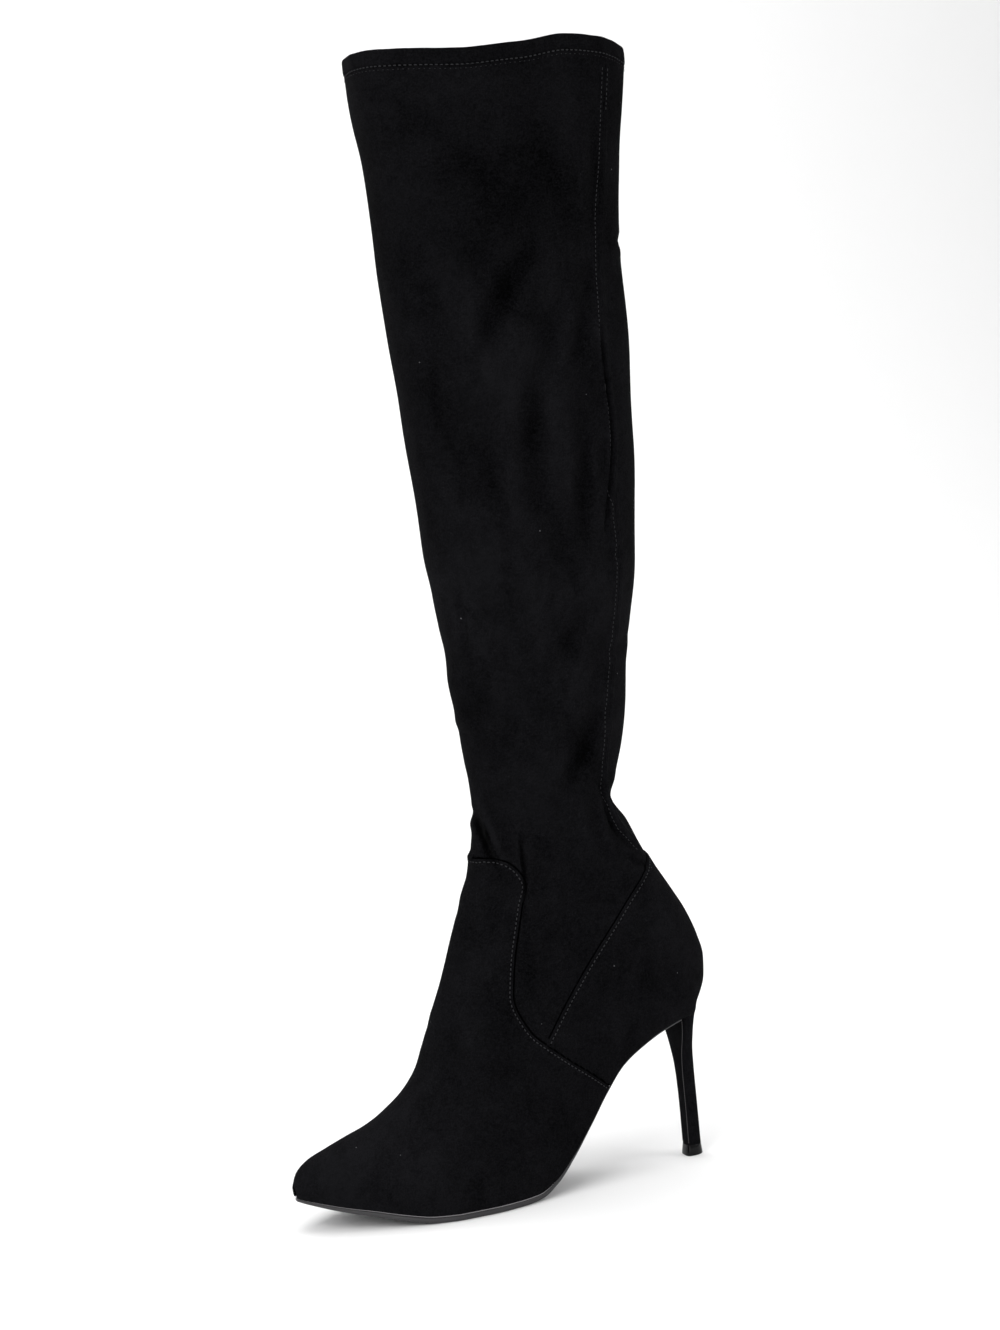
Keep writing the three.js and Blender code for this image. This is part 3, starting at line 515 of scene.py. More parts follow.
def mesh_object(name, verts, faces, material):
    """A smooth-shaded piece from points in millimetres."""
    me = bpy.data.meshes.new(name)
    v = np.asarray(verts, float).reshape(-1, 3) * MM
    me.from_pydata(v.tolist(), [], [list(map(int, f)) for f in faces])
    me.validate()
    me.update()
    me.polygons.foreach_set("use_smooth", [True] * len(me.polygons))
    o = bpy.data.objects.new(name, me)
    bpy.context.scene.collection.objects.link(o)
    me.materials.append(material)
    PIECES.append(name)
    return o


def grid_faces(rows, cols, close=False, offset=0, flip=False):
    """Quads between rows of points, closed round the columns if asked."""
    i, j = np.meshgrid(np.arange(rows - 1), np.arange(cols if close else cols - 1), indexing="ij")
    k = (j + 1) % cols
    a, b, c, d = i * cols + j, (i + 1) * cols + j, (i + 1) * cols + k, i * cols + k
    return np.stack([a, b, c, d] if not flip else [d, c, b, a], -1).reshape(-1, 4) + offset


# Materials.
def node(tree, kind, **values):
    n = tree.nodes.new(kind)
    for key, value in values.items():
        if key in n.inputs:
            n.inputs[key].default_value = value
        else:
            setattr(n, key, value)
    return n


def plain(name, color, roughness, specular):
    m = bpy.data.materials.new(name)
    m.use_nodes = True
    b = m.node_tree.nodes["Principled BSDF"]
    b.inputs["Base Color"].default_value = (*color, 1)
    b.inputs["Roughness"].default_value = roughness
    b.inputs["Specular IOR Level"].default_value = specular
    return m


BRUSH_SLANT = -24  # degrees, of the strokes in the nap
LINT_CELLS, LINT_SIZE, LINT_LEAST = 95, 0.034, 0.74
LINT_COLOR = (0.09, 0.09, 0.095, 1)


def suede(name, dark, light):
    """Napped suede: brushed clouds, small mottling and a fine fibre, with a few specks of lint."""
    m = bpy.data.materials.new(name)
    m.use_nodes = True
    tree = m.node_tree
    b = tree.nodes["Principled BSDF"]
    link = tree.links.new
    place = node(tree, "ShaderNodeTexCoord").outputs["Object"]
    slant = (0, math.radians(BRUSH_SLANT), 0)
    turned = node(tree, "ShaderNodeMapping", Scale=(1.0, 1.0, 0.75), Rotation=slant)
    link(place, turned.inputs["Vector"])
    brushed = turned.outputs["Vector"]

    def noise(scale, detail, rough, vector, distort, half):
        """Noise stretched so that half either side of its middle fills 0 to 1."""
        n = node(tree, "ShaderNodeTexNoise", Scale=scale, Detail=detail, Roughness=rough, Distortion=distort)
        link(vector, n.inputs["Vector"])
        spread = node(tree, "ShaderNodeMapRange", clamp=True)
        spread.inputs["From Min"].default_value = 0.5 - half
        spread.inputs["From Max"].default_value = 0.5 + half
        link(n.outputs["Fac"], spread.inputs["Value"])
        return spread.outputs["Result"]

    def sums(operation, a, c):
        n = node(tree, "ShaderNodeMath", operation=operation)
        for socket, value in zip(n.inputs, (a, c)):
            if isinstance(value, (int, float)):
                socket.default_value = value
            else:
                link(value, socket)
        return n.outputs[0]

    def weighted(*parts):
        total = 0.0
        for value, weight in parts:
            total = sums("ADD", total, sums("MULTIPLY", value, weight))
        return total

    clouds = noise(20, 4, 0.65, brushed, 0.7, 0.16)
    mottle = noise(75, 5, 0.72, brushed, 0.8, 0.16)
    fine = noise(450, 3, 0.75, place, 0.0, 0.11)
    fibre = noise(1150, 2, 0.75, place, 0.0, 0.11)
    # The painted shade, highlight and tone written on the points.
    painted_shade_and_tone = node(tree, "ShaderNodeAttribute", attribute_name="painted_shade_and_tone")
    grain = weighted((clouds, 0.3), (mottle, 0.2), (fine, 0.15), (fibre, 0.45))
    # Painted shade and highlight, mottled, added to the grain.
    painted_shading = sums("MULTIPLY", painted_shade_and_tone.outputs["Fac"], sums("ADD", sums("MULTIPLY", mottle, 0.9), 0.55))
    color = node(tree, "ShaderNodeMix", data_type="RGBA")
    color.inputs["A"].default_value = (*dark, 1)
    color.inputs["B"].default_value = (*light, 1)
    link(sums("MAXIMUM", sums("ADD", grain, painted_shading), 0.0), color.inputs["Factor"])

    cells = node(tree, "ShaderNodeTexVoronoi", feature="F1", Scale=LINT_CELLS)
    link(place, cells.inputs["Vector"])
    some = node(tree, "ShaderNodeSeparateColor")
    link(cells.outputs["Color"], some.inputs[0])
    speck = sums("MULTIPLY", sums("LESS_THAN", cells.outputs["Distance"], LINT_SIZE),
                 sums("GREATER_THAN", some.outputs[0], LINT_LEAST))
    bits = node(tree, "ShaderNodeMix", data_type="RGBA")
    link(speck, bits.inputs["Factor"])
    link(color.outputs["Result"], bits.inputs["A"])
    bits.inputs["B"].default_value = LINT_COLOR
    link(bits.outputs["Result"], b.inputs["Base Color"])
    b.inputs["Roughness"].default_value = 0.95
    b.inputs["Specular IOR Level"].default_value = 0.01
    b.inputs["Sheen Weight"].default_value = 0.004
    b.inputs["Sheen Roughness"].default_value = 0.5
    bump = node(tree, "ShaderNodeBump", Strength=0.62, Distance=0.0004)
    link(weighted((fibre, 0.5), (mottle, 0.6)), bump.inputs["Height"])
    link(bump.outputs["Normal"], b.inputs["Normal"])
    return m


SUEDE = suede("suede", (0.0003, 0.0003, 0.0004), (0.0062, 0.0062, 0.0071))
THREAD = plain("thread", (0.022, 0.022, 0.024), 0.8, 0.1)
# Near-black painted shade for the needle holes beside the stitches.
HOLE_SHADE = plain("needle_hole_shade", (0.001, 0.001, 0.001), 0.95, 0.0)
LINING = plain("lining", (0.012, 0.012, 0.0125), 0.85, 0.25)
SOCK = plain("sock", (0.02, 0.0195, 0.019), 0.6, 0.3)
SOLE = plain("sole", (0.028, 0.027, 0.029), 0.42, 0.35)
# A light grey line of painted highlight along the top of the sole's edge.
SOLE_HIGHLIGHT = plain("painted_sole_highlight", (0.26, 0.25, 0.26), 0.4, 0.5)
LIFT = plain("lift", (0.001, 0.001, 0.0013), 0.08, 0.16)
PIPING = plain("piping", (0.05, 0.048, 0.05), 0.6, 0.3)
# Near-black painted shade, laid in the gap at the panels' edges.
SEAM_SHADE = plain("painted_seam_shade", (0.0004, 0.0004, 0.0005), 0.95, 0.0)
FLOOR = plain("floor", (0.82, 0.82, 0.82), 0.9, 0.1)


# The upper's skin, its rolled collar and its lining.
def spaced_rows(spacing, start=0.0, end=HEM_START):
    t = np.linspace(start, end, 4001)
    lines = [base(t, np.full_like(t, s)) for s in (0.0, 0.25, 0.5)]
    step = np.max([np.linalg.norm(np.diff(p, axis=0), axis=1) for p in lines], axis=0)
    run = np.r_[0, np.cumsum(step)]
    return np.interp(np.linspace(0, run[-1], int(run[-1] / spacing) + 1), run, t)


# Rise of the collar's edge over the plain hem, as shares of COLLAR_CREST, in even steps from back to front.
COLLAR_EDGE = [-0.16, -0.18, 0.2, 0.54, 0.68, 0.11, -0.18, -0.03, 0.18, 0.39, 0.45]
collar_at = smooth_table([[v] for v in COLLAR_EDGE])
HEM_SEAM = 8.7  # stitch line below the collar's edge
# The hem's outer face: share of the way up to the seam, and distance out; then, through the pinched seam,
# distance above it, and distance out.
BELOW_SEAM = [(0.3, 0.1), (0.6, 0.18), (0.8, 0.2)]
PINCH = [(-0.9, 0.15), (-0.4, -0.15), (0.0, -0.3), (0.4, -0.15), (0.9, 0.3), (1.6, 0.6), (2.6, 0.75),
         (3.8, 0.8), (5.0, 0.8), (6.2, 0.8)]
SEAM_ROW = len(BELOW_SEAM) + PINCH.index((0.0, -0.3))


def swell(s):
    forward = np.where(s <= 0.5, s, 1 - s) * 2
    return COLLAR_CREST * collar_at(forward * (len(COLLAR_EDGE) - 1))[..., 0]


def collar_rows(s):
    """The hem's outer face, its rolled edge and the turned hem inside."""
    foot = face(np.full_like(s, HEM_START), s)
    n = normals(np.full_like(s, HEM_START), s)
    n[..., 2] = 0
    n /= np.linalg.norm(n, axis=-1, keepdims=True)
    rise = HEM_DEPTH + swell(s)
    seam = rise - HEM_SEAM
    upward = np.array([0, 0, 1.0])
    slack = 0.3 * np.sin(s * 2 * math.pi * 17) + 0.25 * np.sin(s * 2 * math.pi * 29 + 1)
    mid, radius = (HEM_WALL - UPPER_WALL) / 2, (HEM_WALL + UPPER_WALL) / 2

    def row(up, off, wobble):
        return foot + n * (off + slack * wobble)[..., None] + upward * up[..., None]

    rows = [row(seam * h, off, 0.3 * h) for h, off in BELOW_SEAM]
    rows += [row(seam + d, off, 0.5) for d, off in PINCH]
    for a in np.radians(np.linspace(0, 180, 9)):
        rows.append(row(rise - radius + radius * math.sin(a), mid + radius * math.cos(a), 0.7))
    return rows + [row(rise * h, -UPPER_WALL, 0.4) for h in (0.7, 0.4, 0.1, -0.1)]


# The skin's grid: finer rows from the waist of the foot to the top of the ankle.
RING = 288
ROW_STEP, FINE_STEP = 2.2, 1.35
WAIST, ANKLE_TOP = 12, LEG_START + 3.4
ring = np.linspace(0, 1, RING + 1)
rows_t = np.r_[spaced_rows(ROW_STEP, 0, WAIST)[:-1], spaced_rows(FINE_STEP, WAIST, ANKLE_TOP)[:-1],
               spaced_rows(ROW_STEP, ANKLE_TOP)]
tt, ss = np.meshgrid(rows_t, ring, indexing="ij")
plain_skin = base(tt, ss)
skin = face(tt, ss)
skin_all = np.array(list(skin) + collar_rows(ring))

LINING_STEP, LINING_RING = 6.0, 96
lining_t = spaced_rows(LINING_STEP, 1.0)
lining_tt, lining_ss = np.meshgrid(lining_t, np.linspace(0, 1, LINING_RING + 1), indexing="ij")
mesh_object("lining", face(lining_tt, lining_ss, -UPPER_WALL),
            grid_faces(len(lining_t), LINING_RING + 1, flip=True), LINING)


# Suede panels: the inside of each follows the upper, and a strip along its edge is rounded and stitched down.
def inside(x, z, polygon):
    hit = np.zeros(x.shape, bool)
    p = np.asarray(polygon, float)
    for (ax, az), (bx, bz) in zip(p, np.roll(p, -1, axis=0)):
        crosses = (az > z) != (bz > z)
        at = (bx - ax) * (z - az) / (bz - az if bz != az else 1e-9) + ax
        hit ^= crosses & (x < at)
    return hit


def edge_distance(points, line):
    """Distance from points to the nearest of a line's points."""
    flat = points.reshape(-1, 3)
    out = np.empty(len(flat))
    for i in range(0, len(flat), 4000):
        d = flat[i:i + 4000, None] - line[None]
        out[i:i + 4000] = np.sqrt((d * d).sum(-1).min(1))
    return out.reshape(points.shape[:-1])


# Profiles across an edge: distance inward from it, where less than 0 is outward, and height over the face.
# A panel's own edge, with its stitched channel.
STRIP = [(-0.1, -0.5), (-0.05, 0.1), (0.05, 0.62), (0.25, 0.92), (0.55, 1.06), (1.0, 1.06), (1.6, 0.86),
         (2.2, 1.06), (2.9, 1.2), (3.8, 1.22), (4.6, 1.17), (5.4, 1.0), (6.2, 0.7)]
# The upper's suede, pressed up against the edge.
RIM = [(0.3, -0.45), (0.0, -0.25), (-0.5, -0.2), (-0.9, 0.1), (-1.25, 0.42), (-1.7, 0.55), (-2.3, 0.5),
       (-3.0, 0.3), (-3.8, 0.08), (-4.6, -0.25)]
# A strip of painted shade in the dark gap between the two.
SHADE = [(0.15, 0.05), (-0.2, 0.02), (-0.55, 0.06), (-0.85, 0.14)]
# The seam at the back: two raised welts with a groove between them.
WELTS = [(-5.2, -0.3), (-4.2, 0.05), (-3.2, 0.3), (-2.6, 0.36), (-2.1, 0.2), (-1.6, 0.3), (-0.9, 0.38),
         (-0.4, 0.2), (0.0, -0.15), (0.4, 0.2), (0.9, 0.38), (1.6, 0.3), (2.1, 0.2), (2.6, 0.36), (3.2, 0.3),
         (4.2, 0.05), (5.2, -0.3)]
STITCH, STITCH_INSET = 2.45, 1.6  # pitch of the panels' stitches, and their distance from the edge
PUCKER = 0.08  # rise of the suede between two stitches
VAMP_LAP, COUNTER_LAP = 2.6, 0.8  # how far each panel's suede laps over its seam
EDGE_TUCK = 0.8  # how far a panel's inside dips under the face at its edge
COVERED = 6.5  # how far inside a panel the skin below it ends
UNDER = -20  # a height below the whole boot


def strip(ts, side, profile, pucker):
    """Rows of a ribbon along a traced edge, one for each point of the profile."""
    rows = []
    run = base(ts[:, 0], ts[:, 1])
    length = np.r_[0, np.cumsum(np.linalg.norm(np.diff(run, axis=0), axis=1))]
    wave = pucker * np.sin(length * 2 * math.pi / STITCH)
    for d, h in profile:
        moved = march(ts, d, side) if d else ts
        lift = h + wave * np.exp(-((abs(d) - STITCH_INSET) / 0.9) ** 2)
        rows.append(face(moved[:, 0], moved[:, 1], lift))
    return np.array(rows)


def strips(edges, profile, pucker=0.0, offset=0):
    """Points and faces of ribbons along edges, each a traced line and the side of it that is inward."""
    verts, quads = [], []
    outward_first = profile[0][0] < profile[-1][0]
    for line, side in edges:
        r = strip(line, side, profile, pucker)
        quads.append(grid_faces(len(r), r.shape[1], offset=offset, flip=outward_first == (side > 0)))
        verts.append(r.reshape(-1, 3))
        offset += r.shape[0] * r.shape[1]
    return verts, quads


def ribbons(name, edges, material, profile):
    verts, quads = strips(edges, profile)
    return mesh_object(name, np.vstack(verts), np.vstack(quads), material)


def edge_line(edge, top):
    return [(foot_x(a), u * top) for a, u in edge]


def moved_aside(points, distance):
    """A line of the side view moved square to itself, to the right as it runs."""
    p = np.array(points, float)
    run = np.gradient(p, axis=0)
    run /= np.linalg.norm(run, axis=1, keepdims=True)
    return [tuple(q) for q in p + np.stack([run[:, 1], -run[:, 0]], 1) * distance]


vamp_xz = moved_aside(edge_line(VAMP_EDGE, VAMP_TOP), VAMP_LAP)
counter_xz = moved_aside(edge_line(COUNTER_EDGE, COUNTER_TOP), -COUNTER_LAP)
vamp_poly = np.vstack([curve(vamp_xz), [(foot_x(0.2), UNDER), (foot_x(1.2), UNDER), (foot_x(1.2), VAMP_TOP)]])
seam_low = [p for p in curve(vamp_xz) if p[1] < counter_xz[-1][1] and p[0] < counter_xz[-1][0] + 2]
counter_poly = np.vstack([curve(counter_xz), seam_low,
                          [(foot_x(-0.2), UNDER), (foot_x(-0.2), 1.1 * COUNTER_TOP)]])


def depth_inside(polygon, edges):
    """How far inside a panel's outline each point of the skin's grid lies; less than 0 is outside."""
    lines = np.vstack([face(line[:, 0], line[:, 1]) for line, _ in edges])
    foot = rows_t < LEG_START
    depth = np.full(tt.shape, -99.0)
    far = edge_distance(skin[foot], lines)
    within = inside(plain_skin[foot][..., 0], plain_skin[foot][..., 2], polygon)
    depth[foot] = np.where(within, far, -far)
    return depth


def compact(verts, quads):
    """The faces with only the points that they use."""
    used = np.unique(quads)
    back = np.full(len(verts), -1)
    back[used] = np.arange(len(used))
    return verts[used], back[quads]


def panel(name, depth, edges):
    """A panel over the part of the face inside its outline, with a rounded edge."""
    grid = face(tt, ss, -EDGE_TUCK + (PANEL + EDGE_TUCK) * smooth(1.2, 3.2, depth))
    f = grid_faces(len(rows_t), RING + 1)
    verts, quads = strips(edges, STRIP, PUCKER, offset=grid.size // 3)
    verts.insert(0, grid.reshape(-1, 3))
    quads.insert(0, f[(depth.reshape(-1)[f] > 1.0).all(1)])
    return mesh_object(name, *compact(np.vstack(verts), np.vstack(quads)), SUEDE)


def both_sides(points):
    return [evenly(traced(points, side), 1.0) for side in (1, -1)]


vamp_edges = list(zip(both_sides(vamp_xz), (-1, 1)))
counter_edges = list(zip(both_sides(counter_xz), (1, -1)))
vamp_depth = depth_inside(vamp_poly, vamp_edges)
counter_depth = depth_inside(counter_poly, counter_edges)
vamp = panel("vamp_panel", vamp_depth, vamp_edges)
counter = panel("counter_panel", counter_depth, counter_edges)
vamp_rim = ribbons("vamp_rim", vamp_edges, SUEDE, RIM)
# Painted shade along the gap at each panel's edge.
ribbons("panel_seam_shade", vamp_edges + counter_edges, SEAM_SHADE, SHADE)

# The skin is left out where the panels cover it.
full = grid_faces(len(skin_all), RING + 1)
hidden = np.zeros(len(skin_all) * (RING + 1), bool)
hidden[:tt.size] = (np.maximum(vamp_depth, counter_depth) > COVERED).reshape(-1)
upper = mesh_object("upper_skin", *compact(skin_all.reshape(-1, 3), full[~hidden[full].all(1)]), SUEDE)


# Stitches. Their form along the run: share of the length from the middle, and share of the thickness.
STITCH_FORM = [(-0.5, 0.0), (-0.42, 0.7), (-0.2, 1.0), (0.2, 1.0), (0.42, 0.7), (0.5, 0.0)]
STITCH_SIDES = 6
STITCH_LENGTH = 1.55


def capsules(name, centres, runs, ups, length, thick, material):
    """Small rounded stitches laid along their runs."""
    verts, quads = [], []
    for c, r, u in zip(centres, runs, ups):
        side = np.cross(r, u)
        for i in range(len(STITCH_FORM) - 1):
            low = len(verts) + i * STITCH_SIDES
            high = low + STITCH_SIDES
            for k in range(STITCH_SIDES):
                j = (k + 1) % STITCH_SIDES
                quads.append((low + k, low + j, high + j, high + k))
        for along, wide in STITCH_FORM:
            for k in range(STITCH_SIDES):
                a = 2 * math.pi * k / STITCH_SIDES
                w = thick / 2 * max(wide, 0.15)
                verts.append(c + r * along * length + side * w * math.cos(a) + u * w * math.sin(a))
    return mesh_object(name, verts, quads, material)


def unit(v):
    return v / np.linalg.norm(v, axis=1, keepdims=True)


def paced(line, pitch, start=0.0, spare=0.0):
    """Points at an even pitch along a line of points, from start to spare before its end."""
    run = np.r_[0, np.cumsum(np.linalg.norm(np.diff(line, axis=0), axis=1))]
    at = np.arange(start, run[-1] - spare, pitch)
    return np.stack([np.interp(at, run, line[:, k]) for k in range(3)], 1)


def stitches(name, lines, lift, thick=0.62):
    """Stitches along traced lines, each with a needle hole of painted shade beside it, a small dark capsule.
    """
    centres, runs, ups = [], [], []
    for ts in lines:
        e = evenly(ts, STITCH)
        p = face(e[:, 0], e[:, 1], lift)
        centres += list(p[1:-1])
        runs += list(unit(np.gradient(p, axis=0))[1:-1])
        ups += list(normals(e[:, 0], e[:, 1])[1:-1])
    # Dark capsules of painted shade stand for the needle holes.
    hole_shades = [c + r * STITCH / 2 - u * 0.06 for c, r, u in zip(centres, runs, ups)]
    capsules(name + "_holes", hole_shades, runs, ups, 0.8, 0.5, HOLE_SHADE)
    capsules(name, centres, runs, ups, STITCH_LENGTH, thick, THREAD)


stitches("vamp_stitches", [march(line, STITCH_INSET, side) for line, side in vamp_edges], 0.95)
stitches("counter_stitches", [march(line, STITCH_INSET, side) for line, side in counter_edges], 0.95)
BACK_SEAM = [(12, 601), (17, 557), (21, 530), (24, 504), (26, 480), (27, 462), (26, 440), (25, 420),
             (26, 400), (28, 382), (27, 365), (26, 350), (28, 322), (32, 296), (37, 270), (41, 248),
             (43, 232), (43, 220), (42, 208), (38, 196), (31, 187), (26, 180)]
WELT_INSET, WELT_LIFT = 2.1, 0.24  # where the stitches stand on the welts
SECOND_ROW = 26  # millimetres from the collar, where the second row of stitches ends
seam = evenly(traced(BACK_SEAM), 1.0)
back_seam = ribbons("back_seam", [(seam, 1)], SUEDE, WELTS)
stitches("back_seam_stitches", [march(seam, WELT_INSET, -1), march(seam[:SECOND_ROW], WELT_INSET, 1)],
         WELT_LIFT, thick=0.45)

HEM_STITCH = 2.7


def hem_stitches():
    """Stitches round the collar, standing in the pinched seam."""
    seam_row = skin_all[len(rows_t) + SEAM_ROW][:-1]
    p = paced(np.vstack([seam_row, seam_row[:1]]), HEM_STITCH)
    r = unit(np.roll(p, -1, axis=0) - np.roll(p, 1, axis=0))
    n = unit(np.cross(r, np.array([0, 0, 1.0])))
    n *= np.sign(((p - p.mean(0)) * n).sum(1))[:, None]
    # Dark capsules of painted shade stand for the needle holes.
    capsules("hem_stitches_hole_shades", p + r * HEM_STITCH / 2 + n * 0.12, r, n, 0.9, 0.55, HOLE_SHADE)
    lower = p + r * 1.0 - np.array([0, 0, 2.0]) + n * 0.5
    capsules("hem_stitches_lower", lower, r, n, 0.8, 0.3, THREAD)
    capsules("hem_stitches", p + n * 0.3, r, n, 1.7, 0.66, THREAD)


hem_stitches()


def loft(name, rings, material, flip=False):
    """A body through rings of points, with flat ends."""
    rings = np.array(rings)
    n = rings.shape[1]
    first, last = list(range(n)), [(len(rings) - 1) * n + k for k in range(n)]
    ends = [first[::-1], last] if flip else [first, last[::-1]]
    quads = grid_faces(len(rings), n, close=True, flip=flip)
    return mesh_object(name, rings, list(quads) + ends, material)


# The outsole.
def foot_line(t, height):
    """Where a height square above the last's underside lies in the side view."""
    a, b, c = body_at(np.clip(t - 0.1, 0, SEAT_END)), body_at(np.clip(t + 0.1, 0, SEAT_END)), body_at(t)
    run = np.stack([a[..., 0] - b[..., 0], a[..., 1] - b[..., 1]], -1)
    run /= np.linalg.norm(run, axis=-1, keepdims=True)
    return c[..., 0] - run[..., 1] * height, c[..., 1] + run[..., 0] * height


def sole_thickness(t):
    toward = mix(TOE_THICKNESS, SOLE_THICKNESS, smooth(0, 6, t))
    return mix(toward, WAIST_THICKNESS, smooth(9, 13, t))


SOLE_RINGS = 150
BREAST = 0.77 * TIP_LENGTH + 0.3  # where the sole ends, before the middle of the tip
seat = np.linspace(SEAT_END - 4, SEAT_END, 800)
sole_end = float(np.interp(-BREAST, -body_at(seat)[:, 0], seat))
sole_t = np.linspace(0, sole_end, SOLE_RINGS)


def sole_ring(t, outline):
    """One closed section at t: outline is (out from the tread's edge, height) down the layer's edge."""
    row = body_at(np.array(t))
    pts = []
    for sign, tread in ((1, row[6]), (-1, row[7])):
        edge = [(row[8] + sign * max(0.4, tread + out), up) for out, up in outline]
        pts += edge if sign > 0 else edge[::-1]
    y, height = np.array(pts).T
    x, z = foot_line(np.full_like(y, t), height)
    return np.stack([x, y, z], -1)


def sole_layer(name, shape, material):
    return loft(name, [sole_ring(t, shape(float(sole_thickness(t)))) for t in sole_t], material)


def sole_shape(d):
    """Outline of a sole of thickness d, below the line of painted highlight."""
    top = 0.2 * d
    return [(-3, -top), (1.0, -top), (1.25, -top - 0.15), (1.3, -d * 0.6), (1.1, -d + 0.4), (0.8, -d + 0.1),
            (0.2, -d), (-6, -d)]


def highlight_line_shape(d):
    """Outline of the line of painted highlight along the top of the edge of a sole of thickness d."""
    low = d * 0.18
    return [(-3, 0.1), (1.2, 0.1), (1.6, -0.1 * low), (1.75, -0.5 * low), (1.6, -0.85 * low), (1.2, -low),
            (-3, -low)]


outsole = sole_layer("outsole_body", sole_shape, SOLE)
# The line of painted highlight along the top of the sole's edge.
sole_layer("sole_highlight_line", highlight_line_shape, SOLE_HIGHLIGHT)

# The heel and its tip.
COVER = 0.5  # suede drawn over the heel block
COVER_RINGS, COVER_TOP = 110, 1.06
EDGE_TURN = 11  # point of a heel ring that lies on its outer front edge
PIPING_STITCH = 1.35
# Rings of the tip: distance outside the heel's section, and height.
TIP_FORM = [(-1.2, 0.0), (0.4, 0.0), (0.72, 0.12), (0.8, 0.4), (0.72, 2.0), (0.58, 4.0), (0.46, 5.6),
            (0.3, 5.95), (-1.5, 6.1)]
heel_at = smooth_table(HEEL_ROWS)


def heel_ring(row, z, count=72):
    back, front, half = row[1] * TIP_LENGTH, row[2] * TIP_LENGTH, row[3] * TIP_WIDTH / 2
    middle = mix(back, front, 0.62)
    turn = np.arange(count) / count * 2 * math.pi
    ahead, aside = np.cos(turn), np.sin(turn)
    before = middle + (front - middle) * np.clip(ahead, 0, 1) ** 0.35
    x = np.where(ahead > 0, before, middle + (middle - back) * ahead)
    y = half * np.sign(aside) * np.abs(aside) ** np.where(ahead > 0, 0.6, 1.0)
    return np.stack([x, y, np.full(count, float(z))], -1)


def grown(r, out):
    """A ring moved outward from its middle."""
    way = r - np.array([r[:, 0].mean(), 0, r[0, 2]])
    return r + way / np.linalg.norm(way[:, :2], axis=1, keepdims=True) * out


def row_at(h):
    """Row number of the heel's table at a share h of the way up, found by halving."""
    low, high = 0.0, len(HEEL_ROWS) - 1.0
    for _ in range(30):
        middle = (low + high) / 2
        if heel_at(np.array(middle))[0] < h:
            low = middle
        else:
            high = middle
    return low


def cover_rings():
    """Rings up the heel's cover, cut off below the seat of the foot."""
    rings = []
    seat_line = np.linspace(SEAT_END - 5, SEAT_END, 200)
    sx, sz = foot_line(seat_line, np.full_like(seat_line, -0.1))
    order = np.argsort(sx)
    sx, sz = sx[order], sz[order]
    slope = (sz[1] - sz[0]) / (sx[1] - sx[0])
    for h in np.linspace(0, COVER_TOP, COVER_RINGS):
        r = grown(heel_ring(heel_at(np.array(row_at(h))), mix(TOP_LIFT_HEIGHT, SEAT_Z, h)), COVER)
        top = np.where(r[:, 0] < sx[0], sz[0] + (r[:, 0] - sx[0]) * slope, np.interp(r[:, 0], sx, sz))
        r[:, 2] = np.minimum(r[:, 2], top)
        rings.append(r)
    return rings


heel_rings = cover_rings()
heel = loft("heel_cover", heel_rings, SUEDE, flip=True)


def heel_piping():
    """A fine stitched line down each front edge of the heel."""
    centres, runs, ups = [], [], []
    for turn in (EDGE_TURN, -EDGE_TURN):
        line = []
        for r in heel_rings[1:100]:
            way = np.r_[r[turn][:2] - r[:, :2].mean(0), 0]
            line.append(r[turn] + way / np.linalg.norm(way) * 0.12)
        p = paced(np.array(line), PIPING_STITCH, 1.0, 0.5)
        centres += list(p)
        runs += list(unit(np.gradient(p, axis=0)))
        ups += [np.array([0.7, 0.7 if turn > 0 else -0.7, 0.0])] * len(p)
    capsules("heel_piping", centres, runs, ups, 1.25, 0.42, PIPING)


heel_piping()
lift_rings = []
for out, z in TIP_FORM:
    share = z / TOP_LIFT_HEIGHT
    row = [0, mix(-0.5, -0.48, share), mix(0.5, 0.44, share), mix(1.0, 0.93, share)]
    lift_rings.append(grown(heel_ring(row, z), out))
lift = loft("heel_tip", lift_rings, LIFT, flip=True)

# Painted shade, highlight and tone written on the suede pieces.
for o in (upper, vamp, counter, vamp_rim, back_seam, heel):
    add_painted_shade_and_tone(o)

# The insole keeps the solid's own shape.
insole = frame["nodes"]["insole"]
insole.data.materials.clear()
insole.data.materials.append(SOCK)

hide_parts("upper")
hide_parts("vamp")
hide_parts("counter")
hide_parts("outsole")
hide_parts("heel")
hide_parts("top_lift")
for o in bpy.context.scene.objects:
    if o.type == "MESH" and o.name in PIECES:
        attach(o, "root")

# A plain pale floor that sweeps up behind, in metres: its half-width, and its section as (y, z).
FLOOR_HALF = 5.0
FLOOR_FRONT, FLOOR_BACK, FLOOR_TOP = 3.0, -1.2, 4.0
bend = [(FLOOR_BACK - math.sin(a), 1.0 - math.cos(a)) for a in np.linspace(0, math.pi / 2, 16)[1:]]
floor_line = [(FLOOR_FRONT, 0), (FLOOR_BACK, 0)] + bend + [(FLOOR_BACK - 1.0, FLOOR_TOP)]
sweep = np.array([[(x, along, up) for x in (-FLOOR_HALF, FLOOR_HALF)] for along, up in floor_line]) / MM
floor = mesh_object("floor", sweep, grid_faces(len(sweep), 2, flip=True), FLOOR)
PIECES.remove("floor")

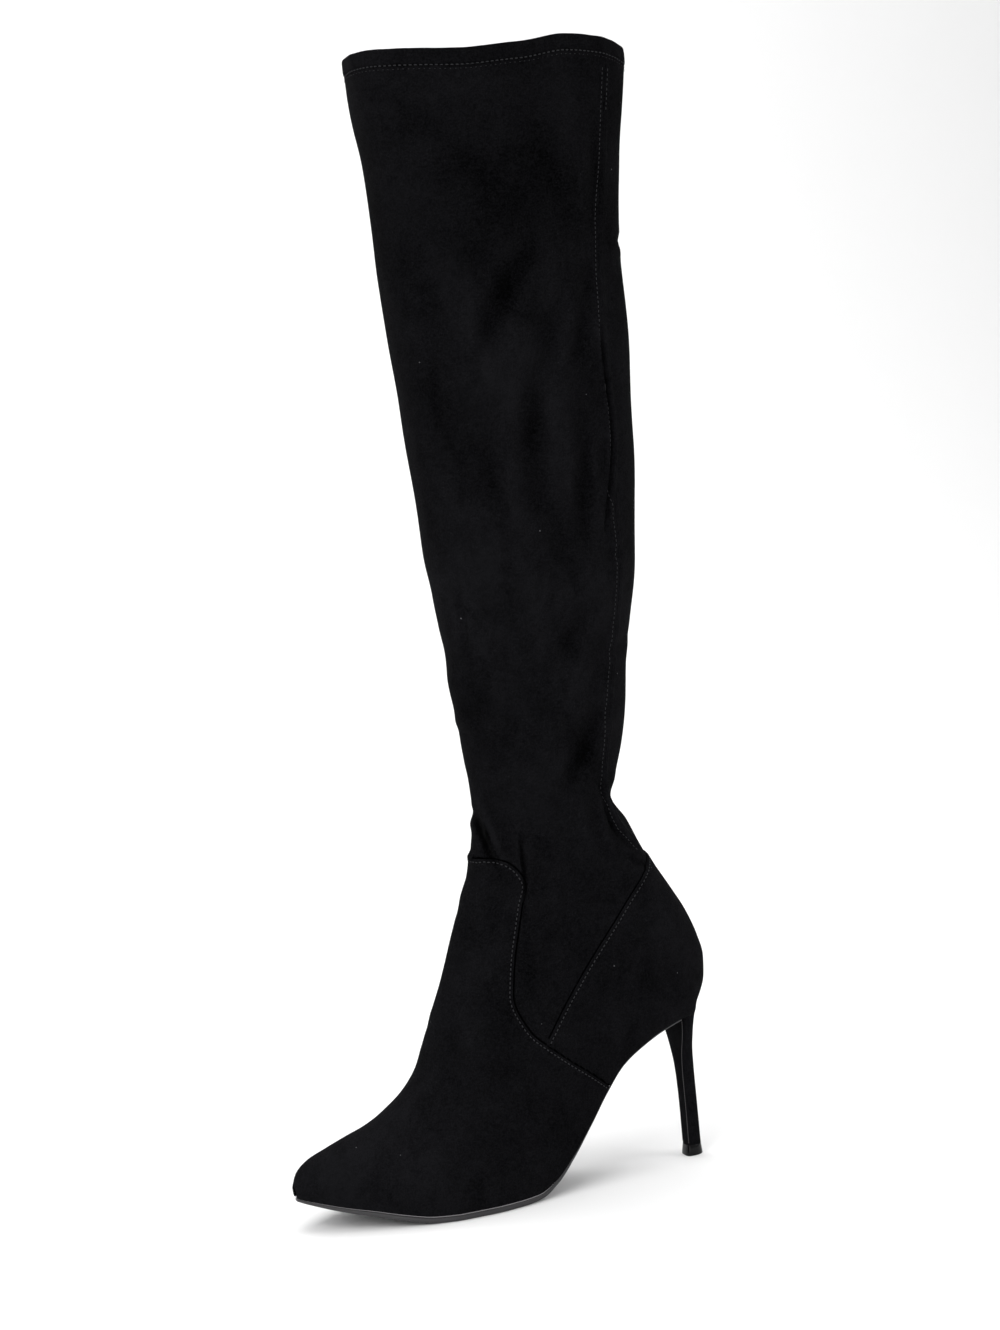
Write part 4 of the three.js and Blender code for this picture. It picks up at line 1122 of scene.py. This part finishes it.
# Camera: round towards the toe from the outer side, a little above, and rolled as in the photograph.
YAW, ELEVATION, ROLL, DISTANCE = 20.0, 5.0, 5.2, 1350.0
AIM = np.array([85.32, -9.87, 287.09])
PIXELS_PER_MM, PICTURE_HEIGHT, SENSOR_HEIGHT = 1.83, 1330, 36.0
yaw, elevation, roll = map(math.radians, (YAW, ELEVATION, ROLL))
flat = math.cos(elevation)
back = np.array([math.sin(yaw) * flat, math.cos(yaw) * flat, math.sin(elevation)])
level = np.array([-math.cos(yaw), math.sin(yaw), 0.0])
upright = np.cross(back, level)
right = level * math.cos(roll) - upright * math.sin(roll)
up = level * math.sin(roll) + upright * math.cos(roll)
place = Matrix.Identity(4)
for column, axis in enumerate((right, up, back, (AIM + back * DISTANCE) * MM)):
    for k in range(3):
        place[k][column] = axis[k]
cam_data = bpy.data.cameras.new("camera")
cam = bpy.data.objects.new("camera", cam_data)
bpy.context.scene.collection.objects.link(cam)
cam.matrix_world = place
cam_data.sensor_fit = "VERTICAL"
cam_data.sensor_height = SENSOR_HEIGHT
cam_data.lens = PIXELS_PER_MM * DISTANCE / PICTURE_HEIGHT * SENSOR_HEIGHT
cam_data.clip_start, cam_data.clip_end = 0.05, 30
scene = bpy.context.scene
scene.camera = cam


# Soft studio light.
def area(name, place_mm, target_mm, size, power):
    light = bpy.data.lights.new(name, "AREA")
    light.shape = "RECTANGLE"
    light.size, light.size_y = size * MM, size * MM
    light.energy = power
    o = bpy.data.objects.new(name, light)
    bpy.context.scene.collection.objects.link(o)
    o.location = Vector(place_mm) * MM
    o.rotation_euler = (Vector(target_mm) - Vector(place_mm)).to_track_quat("-Z", "Y").to_euler()


area("key", (1500, 900, 1500), (90, 0, 250), 1500, 28)
area("fill", (-1300, 900, 900), (60, 0, 300), 900, 7)
area("top", (80, -200, 2300), (80, -100, 0), 1900, 26)
area("back", (80, -1000, 1900), (80, -1900, 900), 1500, 14)
area("low", (700, 1500, 200), (150, 0, 40), 500, 3)
world = bpy.data.worlds.new("world")
scene.world = world
world.use_nodes = True
world.node_tree.nodes["Background"].inputs["Color"].default_value = (1, 1, 1, 1)
world.node_tree.nodes["Background"].inputs["Strength"].default_value = 0.66
scene.view_settings.view_transform = "Standard"
scene.view_settings.look = "None"
